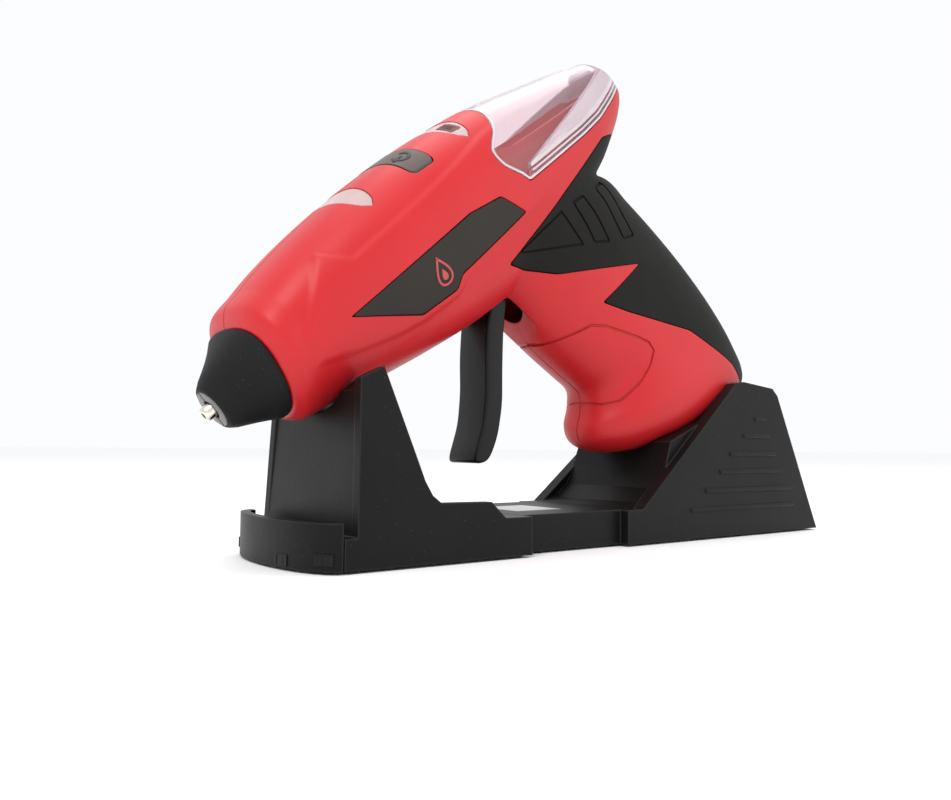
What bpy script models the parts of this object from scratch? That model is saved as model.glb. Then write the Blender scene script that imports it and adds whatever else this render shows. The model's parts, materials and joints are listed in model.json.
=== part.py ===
"""Cordless hot-melt glue gun resting in its charging stand.

World frame: +Z up, the gun points towards -X, Y = 0 is the plane of symmetry, and the
origin lies on the surface below the middle of the whole length, nose to stand. Lengths
below are millimetres; every mesh is made in metres through MM. The gun's pieces are
modelled in the gun's own frame, x along the glue stick towards the rear and z square to
it, with its origin on the stick's axis just behind the nozzle's tip; the empty
"gun_frame" tilts and places them. The stand's pieces use the world.
"""
import math

import bmesh
import bpy
from mathutils import Matrix, Vector

MM = 0.001

# ------------------------------------------------------------------ driving dimensions
GAP = 0.3                     # clearance between pieces that touch
RUN = 0.05                    # radial clearance of a pin that turns in its hole
WALL = 2.4                    # wall of the gun's two housing shells
SKIN = 1.2                    # depth of the grip pads and side inlays
SECTION_POINTS = 28           # points round a section of the housing

STICK_R = 3.5                 # glue stick
PITCH = 40.0                  # nose-down angle of the barrel in the stand, degrees

STAND_LENGTH = 170.0          # front face of the stand to its rear edge
STAND_HALF_WIDTH = 23.5       # at the front prongs
WAIST_HALF_WIDTH = 19.1       # between prongs and cradle
CRADLE_HALF_WIDTH = 22.0
STAND_WALL = 2.6
FLOOR_Z = 9.5                 # top of the deck between prongs and cradle
LEDGE_Z = 7.1                 # floor of the drip tray
TRAY_REACH = 8.2              # how far the drip tray stands out in front
TRAY_Z = 10.3                 # rim of the drip tray
FOOT_LIFT = 0.6               # rubber feet below the mouldings
SPLIT_X = 49.3                # where the front rest meets the cradle, from the front face
PLATE_BOTTOM = 0.9            # plate that closes the stand's underside
PLATE_TOP = 2.9
STAND_SCREW_X = (26.0, 43.0, 60.0, 146.0)
FOOT_X = (10.0, STAND_LENGTH - 18.0)
FOOT_Y = 10.5
FOOT_R = 4.0
PRONG_Z = 42.6                # top of the prongs
CRADLE_Z = 45.6               # top of the cradle's side walls

NOZZLE_AHEAD = 19.9           # gun frame's origin, in front of the stand's front face
NOZZLE_Z = 32.5
NOSE_OVERHANG = 22.2          # foremost point of the nozzle guard, in front of the same face

BARREL_START = 12.9           # front rim of the barrel, measured along the stick
BARREL_LENGTH = 136.8
BARREL_HALF_WIDTH = 18.9
HANDLE_HALF_WIDTH = 16.2
RIM_LEAN = 0.08               # the barrel's front rim leans back at the top
REAR_LEAN = 0.22              # and its rear face leans forward there

GUARD_LIP = 1.8               # the guard's flange covers the rim of the barrel by this
CHAMBER_R = 6.5
CHAMBER_END = 52.0
TRIGGER_PIVOT = (79.0, -18.0)
TRIGGER_HALF_WIDTH = 6.0
TRIGGER_PIN_R = 1.5
BELL_CRANK = (2.5, 11.5)      # pivot to the peg that drives the carriage
PEG_R = 1.3
JAW_PIN_R = 1.0
JAW_PIVOT = (75.0, -8.4)
CARRIAGE_SPAN = (69.5, 85.0)
CARRIAGE_HALF_WIDTH = 6.5
BATTERY_R = 9.25              # 18650 cell
BATTERY_LENGTH = 65.0
BATTERY_TOP = (106.5, -21.5)
BATTERY_LEAN = 16.0           # degrees from square to the barrel
BUTTON_SPAN = (66.8, 74.4)
FRONT_WINDOW_SPAN = (50.2, 55.8)
REAR_WINDOW_SPAN = (84.4, 90.0)
TOP_HALF_WIDTH = 0.656 * BARREL_HALF_WIDTH  # power button and indicator windows
BUTTON_TRAVEL = 0.6
BOARD_SPAN = (50.2, 84.0)
BOARD_LEVEL = 10.4            # underside of the control board
BOARD_THICKNESS = 1.2
SWITCH_TOP = BOARD_LEVEL + BOARD_THICKNESS + 2.0
SCREW_R = 1.1
SCREW_HEAD_R = 2.3
BOSS_R = 3.4
HOUSING_SCREWS = [(37.0, -13.2), (46.0, 13.2), (101.0, -14.2), (91.0, -54.5), (138.0, -62.0)]
CONTACT_PLACE = (104.0, -90.4)  # middle of the charging contacts, on the handle's end face
CONTACT_LEAN = 18.1           # the end face's outward normal, degrees from square to the barrel
CONTACT_HALF_SPREAD = 5.5
CONTACT_R = 2.6
PIN_R = 1.5
JACK_BEHIND = 12.5            # mouth of the charging jack, in front of the stand's rear edge
JACK_Z = 9.0
JACK_HALF = 4.2
JACK_R = 3.0

STAND_FRONT = -(STAND_LENGTH - NOSE_OVERHANG) / 2
STAND_REAR = STAND_FRONT + STAND_LENGTH

# Barrel sections: share of the length, top, bottom, share of the half-width, widest level.
BARREL_SECTIONS = [
    (0.000, 11.9, -11.0, 0.800, 2.8),
    (0.016, 14.8, -13.5, 0.930, 3.3),
    (0.075, 17.3, -15.7, 0.950, 3.5),
    (0.145, 19.1, -17.8, 0.970, 3.0),
    (0.235, 20.6, -20.3, 0.990, 2.0),
    (0.325, 21.5, -22.6, 1.000, 1.0),
    (0.415, 21.8, -24.4, 1.000, 0.0),
    (0.505, 21.6, -25.0, 0.985, -1.0),
    (0.595, 20.7, -24.0, 0.945, -2.0),
    (0.690, 18.9, -21.0, 0.880, -2.0),
    (0.780, 16.8, -18.0, 0.795, -2.0),
    (0.865, 14.8, -14.8, 0.700, -1.0),
    (0.935, 13.1, -10.3, 0.590, 0.5),
    (0.978, 12.0, -6.8, 0.500, 1.5),
    (1.000, 10.4, -4.6, 0.430, 2.0),
]
# Handle sections: front point, back point, share of the half-width.
HANDLE_SECTIONS = [
    ((74.0, -18.0), (116.0, -6.0), 0.96),
    ((77.0, -27.0), (129.5, -16.0), 1.00),
    ((79.2, -36.0), (133.8, -26.0), 0.97),
    ((82.0, -46.0), (138.5, -39.0), 0.94),
    ((85.0, -55.0), (142.5, -53.0), 0.93),
    ((87.0, -62.0), (145.3, -67.0), 0.94),
    ((83.8, -66.5), (146.4, -79.0), 1.00),
    ((79.8, -69.5), (146.2, -88.0), 1.05),
    ((78.6, -74.0), (145.8, -94.5), 1.04),
    ((82.5, -80.0), (144.0, -99.0), 0.92),
    ((90.5, -86.0), (138.0, -101.5), 0.66),
]
UPPER_POWER = 2.5
LOWER_POWER = 2.2
HANDLE_POWER = 2.35

# Outlines in the gun's frame.
COVER_OUTLINE = [(93.6, -1.9), (90.6, 2.2), (88.0, 5.8), (87.4, 10.0), (92.2, 13.0), (95.6, 17.0),
                 (97.6, 26.0), (160.0, 26.0), (160.0, 2.6), (143.0, -0.4), (126.0, -1.9)]
BULKHEAD_OUTLINE = [(92.4, -8.6), (89.0, 0.4), (86.3, 4.8), (85.6, 10.6), (90.6, 14.2), (93.8, 18.0),
                    (95.6, 26.0), (160.0, 26.0), (160.0, -20.0), (133.0, -12.7), (119.0, -13.1),
                    (104.0, -8.6)]
TROUGH_OUTLINE = [(96.0, -4.4), (92.0, 2.4), (89.8, 8.6), (94.4, 12.4), (98.0, 17.4), (148.0, 17.4),
                  (145.0, -0.4)]
GRIP_OUTLINE = [(77.2, -15.2), (104.4, -10.5), (129.0, -6.6), (137.0, -8.5), (150.0, -20.0),
                (160.0, -60.0), (160.0, -97.4), (134.8, -97.4), (132.6, -86.0), (122.5, -66.5),
                (105.0, -48.0), (98.8, -40.8), (117.4, -40.2), (89.7, -25.8)]
INLAY_OUTLINE = [(31.4, 0.3), (71.7, 1.5), (82.4, -0.1), (87.3, -6.9), (61.5, -8.3), (58.7, -10.5),
                 (47.3, -9.8)]
TRIGGER_OUTLINE = [(75.6, -20.6), (69.3, -25.1), (63.0, -31.8), (57.6, -38.6), (51.6, -44.6),
                   (43.3, -49.8), (44.2, -51.6), (47.3, -52.9), (53.2, -50.0), (59.6, -44.6),
                   (65.6, -37.4), (72.3, -29.8), (80.6, -22.4)]


# ------------------------------------------------------------------------- scene set-up
for old in list(bpy.data.objects):
    bpy.data.objects.remove(old, do_unlink=True)


def collection(name):
    made = bpy.data.collections.get(name) or bpy.data.collections.new(name)
    if name not in bpy.context.scene.collection.children:
        bpy.context.scene.collection.children.link(made)
    return made


PARTS = collection("glue_gun")
CUTTERS = collection("cutters")


def empty(name, location=(0, 0, 0), tilt=0.0, parent=None):
    made = bpy.data.objects.new(name, None)
    made.location = Vector(location) * MM
    made.rotation_euler = (0, math.radians(tilt), 0)
    made.parent = parent
    PARTS.objects.link(made)
    return made


GUN = empty("gun_frame", (STAND_FRONT - NOZZLE_AHEAD, 0, NOZZLE_Z), -PITCH)
STAND = empty("stand_frame")


def material(name, colour, roughness=0.5, metallic=0.0, alpha=1.0):
    made = bpy.data.materials.get(name)
    if made is None:
        made = bpy.data.materials.new(name)
        made.use_nodes = True
        shader = made.node_tree.nodes["Principled BSDF"]
        shader.inputs["Base Color"].default_value = (*colour, 1)
        shader.inputs["Roughness"].default_value = roughness
        shader.inputs["Metallic"].default_value = metallic
        shader.inputs["Alpha"].default_value = alpha
    return made


def red_plastic():
    return material("red_plastic", (0.68, 0.035, 0.035), 0.45)


def black_plastic():
    return material("black_plastic", (0.016, 0.016, 0.015), 0.5)


def soft_black():
    return material("soft_black", (0.022, 0.021, 0.018), 0.8)


def inlay_grey():
    return material("inlay_grey", (0.045, 0.038, 0.033), 0.55)


def button_grey():
    return material("button_grey", (0.15, 0.135, 0.11), 0.5)


def clear_plastic():
    return material("clear_plastic", (0.9, 0.86, 0.88), 0.1, alpha=0.3)


def nickel():
    return material("nickel", (0.66, 0.6, 0.5), 0.25, 1.0)


def aluminium():
    return material("aluminium", (0.6, 0.6, 0.62), 0.4, 1.0)


def spring_steel():
    return material("spring_steel", (0.5, 0.5, 0.52), 0.3, 1.0)


def silicone():
    return material("silicone", (0.75, 0.74, 0.7), 0.6)


def white_plastic():
    return material("white_plastic", (0.72, 0.71, 0.68), 0.5)


def board_green():
    return material("board_green", (0.02, 0.12, 0.05), 0.5)


def cell_wrap():
    return material("cell_wrap", (0.03, 0.12, 0.32), 0.4)


def label_silver():
    return material("label_silver", (0.62, 0.62, 0.62), 0.35, 0.6)


# ---------------------------------------------------------------------------- mesh tools
def piece(name, mesh, look, frame):
    """Link a mesh as a part when it has a material, or as a cutter when it has none."""
    made = bpy.data.objects.new(name, mesh)
    made.parent = frame
    if look is None:
        CUTTERS.objects.link(made)
        made.hide_render = True
        made.display_type = "WIRE"
    else:
        PARTS.objects.link(made)
        mesh.materials.clear()
        mesh.materials.append(look)
    return made


def from_bmesh(name, bm, look, frame):
    bmesh.ops.recalc_face_normals(bm, faces=bm.faces)
    mesh = bpy.data.meshes.new(name)
    bm.to_mesh(mesh)
    bm.free()
    return piece(name, mesh, look, frame)


def block(name, low, high, look=None, frame=STAND, bevel=0.0):
    """A box between two corners, with an optional small bevel."""
    low = Vector(low) * MM
    high = Vector(high) * MM
    bm = bmesh.new()
    bmesh.ops.create_cube(bm, size=1.0)
    size = high - low
    middle = (high + low) / 2
    bmesh.ops.transform(bm, matrix=Matrix.Translation(middle) @ Matrix.Diagonal((*size, 1)), verts=bm.verts)
    made = from_bmesh(name, bm, look, frame)
    if bevel:
        edge = made.modifiers.new("edge", "BEVEL")
        edge.width = bevel * MM
        edge.segments = 1
    return made


def rod(name, start, end, radius, look=None, frame=GUN, segments=20, tip=None):
    """A cylinder, or a cone when tip gives the end's radius, between two points."""
    start = Vector(start) * MM
    end = Vector(end) * MM
    axis = end - start
    bm = bmesh.new()
    bmesh.ops.create_cone(bm, cap_ends=True, segments=segments, radius1=radius * MM,
                          radius2=(radius if tip is None else tip) * MM, depth=axis.length)
    turn = axis.to_track_quat("Z", "Y").to_matrix().to_4x4()
    bmesh.ops.transform(bm, matrix=Matrix.Translation((start + end) / 2) @ turn, verts=bm.verts)
    return from_bmesh(name, bm, look, frame)


def turned(name, profile, look=None, frame=GUN, centre=(0, 0, 0), steps=24, axis="X"):
    """A profile of (distance along the axis, radius) turned about X, Y or Z.

    The profile closes on itself, unless it starts and ends on the axis.
    """
    mesh = bpy.data.meshes.new(name)
    points = [(radius * MM, 0, -along * MM) for along, radius in profile]
    solid = profile[0][1] == 0 and profile[-1][1] == 0
    edges = [(i, i + 1) for i in range(len(points) - 1)]
    if not solid:
        edges.append((len(points) - 1, 0))
    mesh.from_pydata(points, edges, [])
    made = piece(name, mesh, look, frame)
    made.location = Vector(centre) * MM
    made.rotation_euler = {"X": (0, -math.pi / 2, 0), "Y": (math.pi / 2, 0, 0), "Z": (math.pi, 0, 0)}[axis]
    spin = made.modifiers.new("turn", "SCREW")
    spin.steps = steps
    spin.render_steps = steps
    spin.use_merge_vertices = True
    spin.merge_threshold = 0.00001
    freeze(made)
    face_outwards(made.data)
    return made


def face_outwards(mesh):
    bm = bmesh.new()
    bm.from_mesh(mesh)
    bmesh.ops.remove_doubles(bm, verts=bm.verts, dist=0.000005)
    bmesh.ops.recalc_face_normals(bm, faces=bm.faces)
    bm.to_mesh(mesh)
    bm.free()


def plate(name, outline, low, high, look=None, frame=GUN):
    """A flat outline of (x, z) points, thick from low to high along Y."""
    curve = bpy.data.curves.new(name, "CURVE")
    curve.dimensions = "2D"
    curve.fill_mode = "BOTH"
    curve.extrude = abs(high - low) / 2 * MM
    spline = curve.splines.new("POLY")
    spline.points.add(len(outline) - 1)
    for point, (x, z) in zip(spline.points, outline):
        point.co = (x * MM, z * MM, 0, 1)
    spline.use_cyclic_u = True
    guide = bpy.data.objects.new(name + "_curve", curve)
    CUTTERS.objects.link(guide)
    bpy.context.view_layer.update()
    mesh = bpy.data.meshes.new_from_object(guide.evaluated_get(bpy.context.evaluated_depsgraph_get()))
    bpy.data.objects.remove(guide, do_unlink=True)
    bm = bmesh.new()
    bm.from_mesh(mesh)
    bpy.data.meshes.remove(mesh)
    bmesh.ops.remove_doubles(bm, verts=bm.verts, dist=0.00001)
    stand_up = Matrix.Translation((0, (low + high) / 2 * MM, 0)) @ Matrix.Rotation(math.pi / 2, 4, "X")
    bmesh.ops.transform(bm, matrix=stand_up, verts=bm.verts)
    return from_bmesh(name, bm, look, frame)


def loft(name, rings, look=None, frame=GUN):
    """A closed skin over rings that have the same number of points."""
    bm = bmesh.new()
    loops = [[bm.verts.new(Vector(point) * MM) for point in ring] for ring in rings]
    count = len(loops[0])
    for near, far in zip(loops, loops[1:]):
        for i in range(count):
            j = (i + 1) % count
            bm.faces.new((near[i], near[j], far[j], far[i]))
    bm.faces.new(loops[0])
    bm.faces.new(loops[-1])
    return from_bmesh(name, bm, look, frame)


def freeze(target):
    """Replace an object's mesh and modifiers by the shape they make."""
    bpy.context.view_layer.update()
    depsgraph = bpy.context.evaluated_depsgraph_get()
    mesh = bpy.data.meshes.new_from_object(target.evaluated_get(depsgraph))
    target.modifiers.clear()
    target.data = mesh
    return target


def boolean(target, others, operation):
    for other in others:
        step = target.modifiers.new(other.name, "BOOLEAN")
        step.object = other
        step.operation = operation
        step.solver = "EXACT"
    return freeze(target)


def cut(target, *others):
    return boolean(target, others, "DIFFERENCE")


def join(target, *others):
    return boolean(target, others, "UNION")


def keep(target, *others):
    return boolean(target, others, "INTERSECT")


def copy_of(source, name, look=None):
    return piece(name, source.data.copy(), look, source.parent)


def sides():
    """Name and sign of the two sides; the left side is -Y."""
    return (("left", -1), ("right", 1))


# ----------------------------------------------------------------------- housing's shape
def bent(value, power):
    return math.copysign(abs(value) ** (2 / power), value)


def barrel_ring(section, inset):
    share, top, bottom, wide, level = section
    along = BARREL_START + share * BARREL_LENGTH
    lean = RIM_LEAN * max(0.0, 1 - share * 5) - REAR_LEAN * max(0.0, 1 - (1 - share) * 10)
    ring = []
    for i in range(SECTION_POINTS):
        turn = 2 * math.pi * i / SECTION_POINTS
        upper = math.sin(turn) >= 0
        power = UPPER_POWER if upper else LOWER_POWER
        rise = (top - inset - level) if upper else (level - bottom - inset)
        y = max(BARREL_HALF_WIDTH * wide - inset, 0.5) * bent(math.cos(turn), power)
        z = level + max(rise, 0.3) * bent(math.sin(turn), power)
        ring.append((along + lean * z, y, z))
    return ring


def handle_ring(section, inset):
    (front_x, front_z), (back_x, back_z), wide = section
    front = Vector((front_x, 0, front_z))
    back = Vector((back_x, 0, back_z))
    centre = (front + back) / 2
    reach = (back - front) / 2
    reach = reach * (1 - inset / reach.length)
    half_width = HANDLE_HALF_WIDTH * wide - inset
    ring = []
    for i in range(SECTION_POINTS):
        turn = 2 * math.pi * i / SECTION_POINTS
        place = centre + reach * bent(math.cos(turn), HANDLE_POWER)
        ring.append((place.x, half_width * bent(math.sin(turn), HANDLE_POWER), place.z))
    return ring


def body_solid(name, inset):
    """Barrel and handle as one solid, pulled in by inset (or swollen when negative).

    Down to the floor of the skin's recesses the handle runs past its end face, so that the
    skin ends there in a rim; deeper solids stop short of the ends and leave a wall.
    """
    barrel_sections = BARREL_SECTIONS[:]
    handle_sections = HANDLE_SECTIONS[:]
    if inset > SKIN + GAP:
        barrel_sections = [(0.030, *BARREL_SECTIONS[1][1:])] + BARREL_SECTIONS[2:-1]
        handle_sections = HANDLE_SECTIONS[:-1]
    elif inset > 0:
        lean = math.radians(CONTACT_LEAN)
        past = Vector((-math.sin(lean), -math.cos(lean)))
        front, back, wide = HANDLE_SECTIONS[-1]
        handle_sections.append((tuple(Vector(front) + past), tuple(Vector(back) + past), wide))
    barrel = loft(name, [barrel_ring(s, inset) for s in barrel_sections])
    handle = loft(name + "_handle", [handle_ring(s, inset) for s in handle_sections])
    return join(barrel, handle)


def offset_outline(outline, distance):
    """Move each edge of a closed outline outwards by distance (inwards when negative)."""
    count = len(outline)
    corners = [(outline[i - 1], outline[i]) for i in range(count)]
    area = sum(near[0] * far[1] - far[0] * near[1] for near, far in corners)
    side = math.copysign(1.0, area)
    moved = []
    for i in range(count):
        before, here, after = (Vector(outline[j % count]) for j in (i - 1, i, i + 1))
        into = (here - before).normalized()
        out = (after - here).normalized()
        normals = [Vector((edge.y, -edge.x)) * side for edge in (into, out)]
        mitre = (normals[0] + normals[1]).normalized()
        stretch = max(mitre.dot(normals[0]), 0.5)
        moved.append(tuple(here + mitre * distance / stretch))
    return moved


def gun_point(x, y, z):
    """A place in the gun's frame, as millimetres in the world."""
    tilt = math.radians(PITCH)
    ahead = STAND_FRONT - NOZZLE_AHEAD
    across = x * math.cos(tilt) - z * math.sin(tilt)
    return (ahead + across, y, NOZZLE_Z + x * math.sin(tilt) + z * math.cos(tilt))


# --------------------------------------------------------------------- housing and trims
def trigger_slot_outline():
    """The sector that the trigger sweeps, opened downwards, with room behind its hub."""
    reach = 34.0
    x, z = TRIGGER_PIVOT
    points = [(x, z)]
    for angle in (207, 223, 239, 255, 271):
        turn = math.radians(angle)
        points.append((x + reach * math.cos(turn), z + reach * math.sin(turn)))
    return points + [(x + 2.6, z - 7.0), (x + 2.6, z)]


def guard_ring(along, inset, blend=0.0, nose_radius=6.0):
    """The nozzle guard's section: the barrel's mouth, drawn in to a round nose."""
    ring = []
    for _, y, z in barrel_ring(BARREL_SECTIONS[0], inset):
        angle = math.atan2(z, y)
        round_y = nose_radius * math.cos(angle)
        round_z = nose_radius * math.sin(angle)
        place = along + RIM_LEAN * z * (1 - blend)
        ring.append((place, y + (round_y - y) * blend, z + (round_z - z) * blend))
    return ring


def guard_mouth():
    """The opening in the barrel's front that holds the guard's tail."""
    inset = GUARD_LIP - GAP
    return loft("guard_mouth", [guard_ring(BARREL_START - 3.0, inset), guard_ring(BARREL_START + 9.0, inset)])


def top_block(name, span, grow, look=None):
    """A box through the top of the barrel for the button and the windows."""
    low = (span[0] - grow, -TOP_HALF_WIDTH - grow, BOARD_LEVEL + BOARD_THICKNESS + 1.6)
    high = (span[1] + grow, TOP_HALF_WIDTH + grow, 26.0)
    return block(name, low, high, look, GUN)


def contact_line(side, start, end):
    """Two places on a charging contact's axis, at distances outside the end face."""
    lean = math.radians(CONTACT_LEAN)
    out = Vector((-math.sin(lean), 0, -math.cos(lean)))
    foot = Vector((CONTACT_PLACE[0], side * CONTACT_HALF_SPREAD, CONTACT_PLACE[1]))
    return tuple(foot + out * start), tuple(foot + out * end)


def housing_cutters():
    """Every opening in the shells, apart from the skin recesses and those in the top."""
    wide = BARREL_HALF_WIDTH + 5
    openings = [plate("cover_opening", COVER_OUTLINE, -wide, wide)]
    openings.append(plate("trough", TROUGH_OUTLINE, -8.6, 8.6))
    openings.append(rod("stick_way", (86, 0, 0), (165, 0, 0), STICK_R + 0.7))
    slot_half = TRIGGER_HALF_WIDTH + 1
    openings.append(plate("trigger_slot", trigger_slot_outline(), -slot_half, slot_half))
    openings.append(guard_mouth())
    for name, side in sides():
        openings.append(rod("contact_hole_" + name, *contact_line(side, -8, 6), CONTACT_R + GAP))
    return openings


def boss_rods():
    """Posts across the housing for the screws, and stubs for the trigger's pin."""
    half = BARREL_HALF_WIDTH + 1
    posts = []
    for i, (x, z) in enumerate(HOUSING_SCREWS):
        posts.append(rod(f"boss_{i + 1}", (x, -half, z), (x, half, z), BOSS_R, segments=16))
    x, z = TRIGGER_PIVOT
    for name, side in sides():
        start = side * (TRIGGER_HALF_WIDTH + GAP)
        posts.append(rod("pivot_boss_" + name, (x, start, z), (x, side * half, z), TRIGGER_PIN_R + 1.8,
                         segments=16))
    return posts


def screw_holes():
    """Clearance for the screws: heads enter from the right (+Y)."""
    holes = []
    for i, (x, z) in enumerate(HOUSING_SCREWS):
        holes.append(rod(f"screw_hole_{i + 1}", (x, -8.0, z), (x, 9.0, z), SCREW_R + GAP, segments=12))
        holes.append(rod(f"head_hole_{i + 1}", (x, 6.0, z), (x, 30.0, z), SCREW_HEAD_R + GAP, segments=16))
    x, z = TRIGGER_PIVOT
    reach = TRIGGER_HALF_WIDTH + 4.9
    holes.append(rod("pin_hole", (x, -reach, z), (x, reach, z), TRIGGER_PIN_R + GAP, segments=16))
    return holes


def half_space(name, side):
    start = side * GAP / 2
    return block(name, (-30, min(start, side * 60), -130), (190, max(start, side * 60), 60), None, GUN)


def gun_shells():
    outer = body_solid("outer", 0.0)
    under_skin = body_solid("under_skin", SKIN)
    recess_floor = body_solid("recess_floor", SKIN + GAP)
    inner = body_solid("inner", WALL)
    cavity = copy_of(inner, "cavity")
    cut(cavity, plate("bulkhead", BULKHEAD_OUTLINE, -30, 30))

    shell = copy_of(outer, "shell")
    posts = boss_rods()
    for post in posts:
        keep(post, under_skin)
    cut(shell, cavity)
    join(shell, *posts)
    openings = housing_cutters()
    for name, outline in (("grip", GRIP_OUTLINE), ("inlay", INLAY_OUTLINE)):
        recess = plate(name + "_recess", offset_outline(outline, GAP), -30, 30)
        openings.append(cut(recess, recess_floor))
    holes = screw_holes()
    top_holes = [top_block("button_hole", BUTTON_SPAN, GAP),
                 top_block("front_window_hole", FRONT_WINDOW_SPAN, GAP),
                 top_block("rear_window_hole", REAR_WINDOW_SPAN, GAP)]

    for name, side in sides():
        half = half_space("half_" + name, side)
        keep(copy_of(shell, "housing_" + name, red_plastic()), half)
        cut(bpy.data.objects["housing_" + name], *openings, *holes)
        cut(bpy.data.objects["housing_" + name], *top_holes)
        grip = plate("grip_" + name, GRIP_OUTLINE, -30, 30, soft_black())
        keep(grip, outer, half)
        cut(grip, under_skin, *(holes if side > 0 else []))
        inlay = plate("inlay_" + name, INLAY_OUTLINE, side * 8, side * 30, inlay_grey())
        keep(inlay, outer)
        cut(inlay, under_skin)

    cover = plate("stick_cover", offset_outline(COVER_OUTLINE, -GAP), -30, 30, clear_plastic())
    keep(cover, outer)
    cut(cover, body_solid("cover_inside", 1.6), rod("entry_hole", (140, 0, 0), (165, 0, 0), STICK_R + 0.7))

    for name, span in (("front_window", FRONT_WINDOW_SPAN), ("rear_window", REAR_WINDOW_SPAN)):
        window = top_block(name, span, 0.0, clear_plastic())
        keep(window, outer)
        cut(window, inner)
    button = top_block("power_button", BUTTON_SPAN, 0.0, button_grey())
    keep(button, outer)
    cut(button, inner)
    middle = sum(BUTTON_SPAN) / 2
    stem_foot = SWITCH_TOP + GAP + BUTTON_TRAVEL
    join(button, block("button_stem", (middle - 1.5, -2, stem_foot), (middle + 1.5, 2, 20.4), None, GUN))


# -------------------------------------------------------------------------- gun's inside
def nozzle_group():
    mouth = BARREL_START - GAP
    nose = 1.2
    guard = loft("nozzle_guard", [guard_ring(nose, GAP, 1.0, 4.9), guard_ring(nose + 0.5, GAP, 1.0, 5.6),
                                  guard_ring(nose + 1.8, GAP, 0.92), guard_ring(7.5, GAP, 0.5),
                                  guard_ring(mouth - 0.8, GAP, 0.02), guard_ring(mouth, GAP),
                                  guard_ring(mouth + 0.01, GUARD_LIP), guard_ring(mouth + 7.0, GUARD_LIP)],
                 soft_black())
    cut(guard, rod("guard_nose_hole", (nose - 1, 0, 0), (6, 0, 0), 2.1),
        rod("guard_hex_room", (3.6, 0, 0), (9, 0, 0), 3.3),
        rod("guard_room", (6.7, 0, 0), (24, 0, 0), CHAMBER_R + 0.8))
    tip = -1.2
    turned("nozzle_tip", [(tip, 1.45), (tip + 0.8, 1.7), (3.9, 1.7), (4.2, 2.9), (6.8, 2.9), (6.8, 2.0),
                          (11.3, 2.0),
                          (11.3, 1.1), (1.0, 1.1), (tip + 0.8, 0.75), (tip, 0.75)], nickel())
    bore = STICK_R + 0.4
    turned("melt_chamber", [(7.1, 4.5), (9.8, CHAMBER_R), (44.0, CHAMBER_R), (44.0, CHAMBER_R - 1.3),
                            (CHAMBER_END, CHAMBER_R - 1.3), (CHAMBER_END, bore), (15.8, bore), (12.0, 2.3),
                            (7.1, 2.3)], aluminium())
    under = -CHAMBER_R - GAP
    block("heater_plate", (20.5, -3.6, under - 2.1), (38, 3.6, under), white_plastic(), GUN, 0.3)
    clip = block("heater_clip", (26, -CHAMBER_R - 1.1, under - 3.1), (33, CHAMBER_R + 1.1, 4.0),
                 spring_steel(), GUN)
    cut(clip, block("clip_room", (25, -CHAMBER_R - GAP, under - 2.4), (34, CHAMBER_R + GAP, 6.0), None, GUN))
    sleeve_r = CHAMBER_R + 0.5
    turned("stick_sleeve", [(46, sleeve_r), (57, sleeve_r), (60, sleeve_r - 1.4), (60, bore),
                            (CHAMBER_END + GAP, bore),
                            (CHAMBER_END + GAP, CHAMBER_R - 1.0), (46, CHAMBER_R - 1.0)], silicone())
    turned("sleeve_clip", [(48, sleeve_r + 1.1), (51, sleeve_r + 1.1), (51, sleeve_r + GAP),
                           (48, sleeve_r + GAP)],
           spring_steel())


def return_spring():
    """Compression spring round the stick, between the sleeve and the carriage."""
    turns, per_turn, wire = 4, 12, 0.45
    start = 60.4 + wire
    length = CARRIAGE_SPAN[0] - GAP - wire - start
    curve = bpy.data.curves.new("return_spring", "CURVE")
    curve.dimensions = "3D"
    curve.bevel_depth = wire * MM
    curve.bevel_resolution = 2
    curve.use_fill_caps = True
    spline = curve.splines.new("POLY")
    count = turns * per_turn
    spline.points.add(count)
    for i, point in enumerate(spline.points):
        turn = 2 * math.pi * i / per_turn
        radius = STICK_R + 1.6
        point.co = ((start + length * i / count) * MM, radius * math.cos(turn) * MM,
                    radius * math.sin(turn) * MM, 1)
    guide = bpy.data.objects.new("spring_curve", curve)
    CUTTERS.objects.link(guide)
    bpy.context.view_layer.update()
    mesh = bpy.data.meshes.new_from_object(guide.evaluated_get(bpy.context.evaluated_depsgraph_get()))
    bpy.data.objects.remove(guide, do_unlink=True)
    face_outwards(mesh)
    piece("return_spring", mesh, spring_steel(), GUN)


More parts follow.
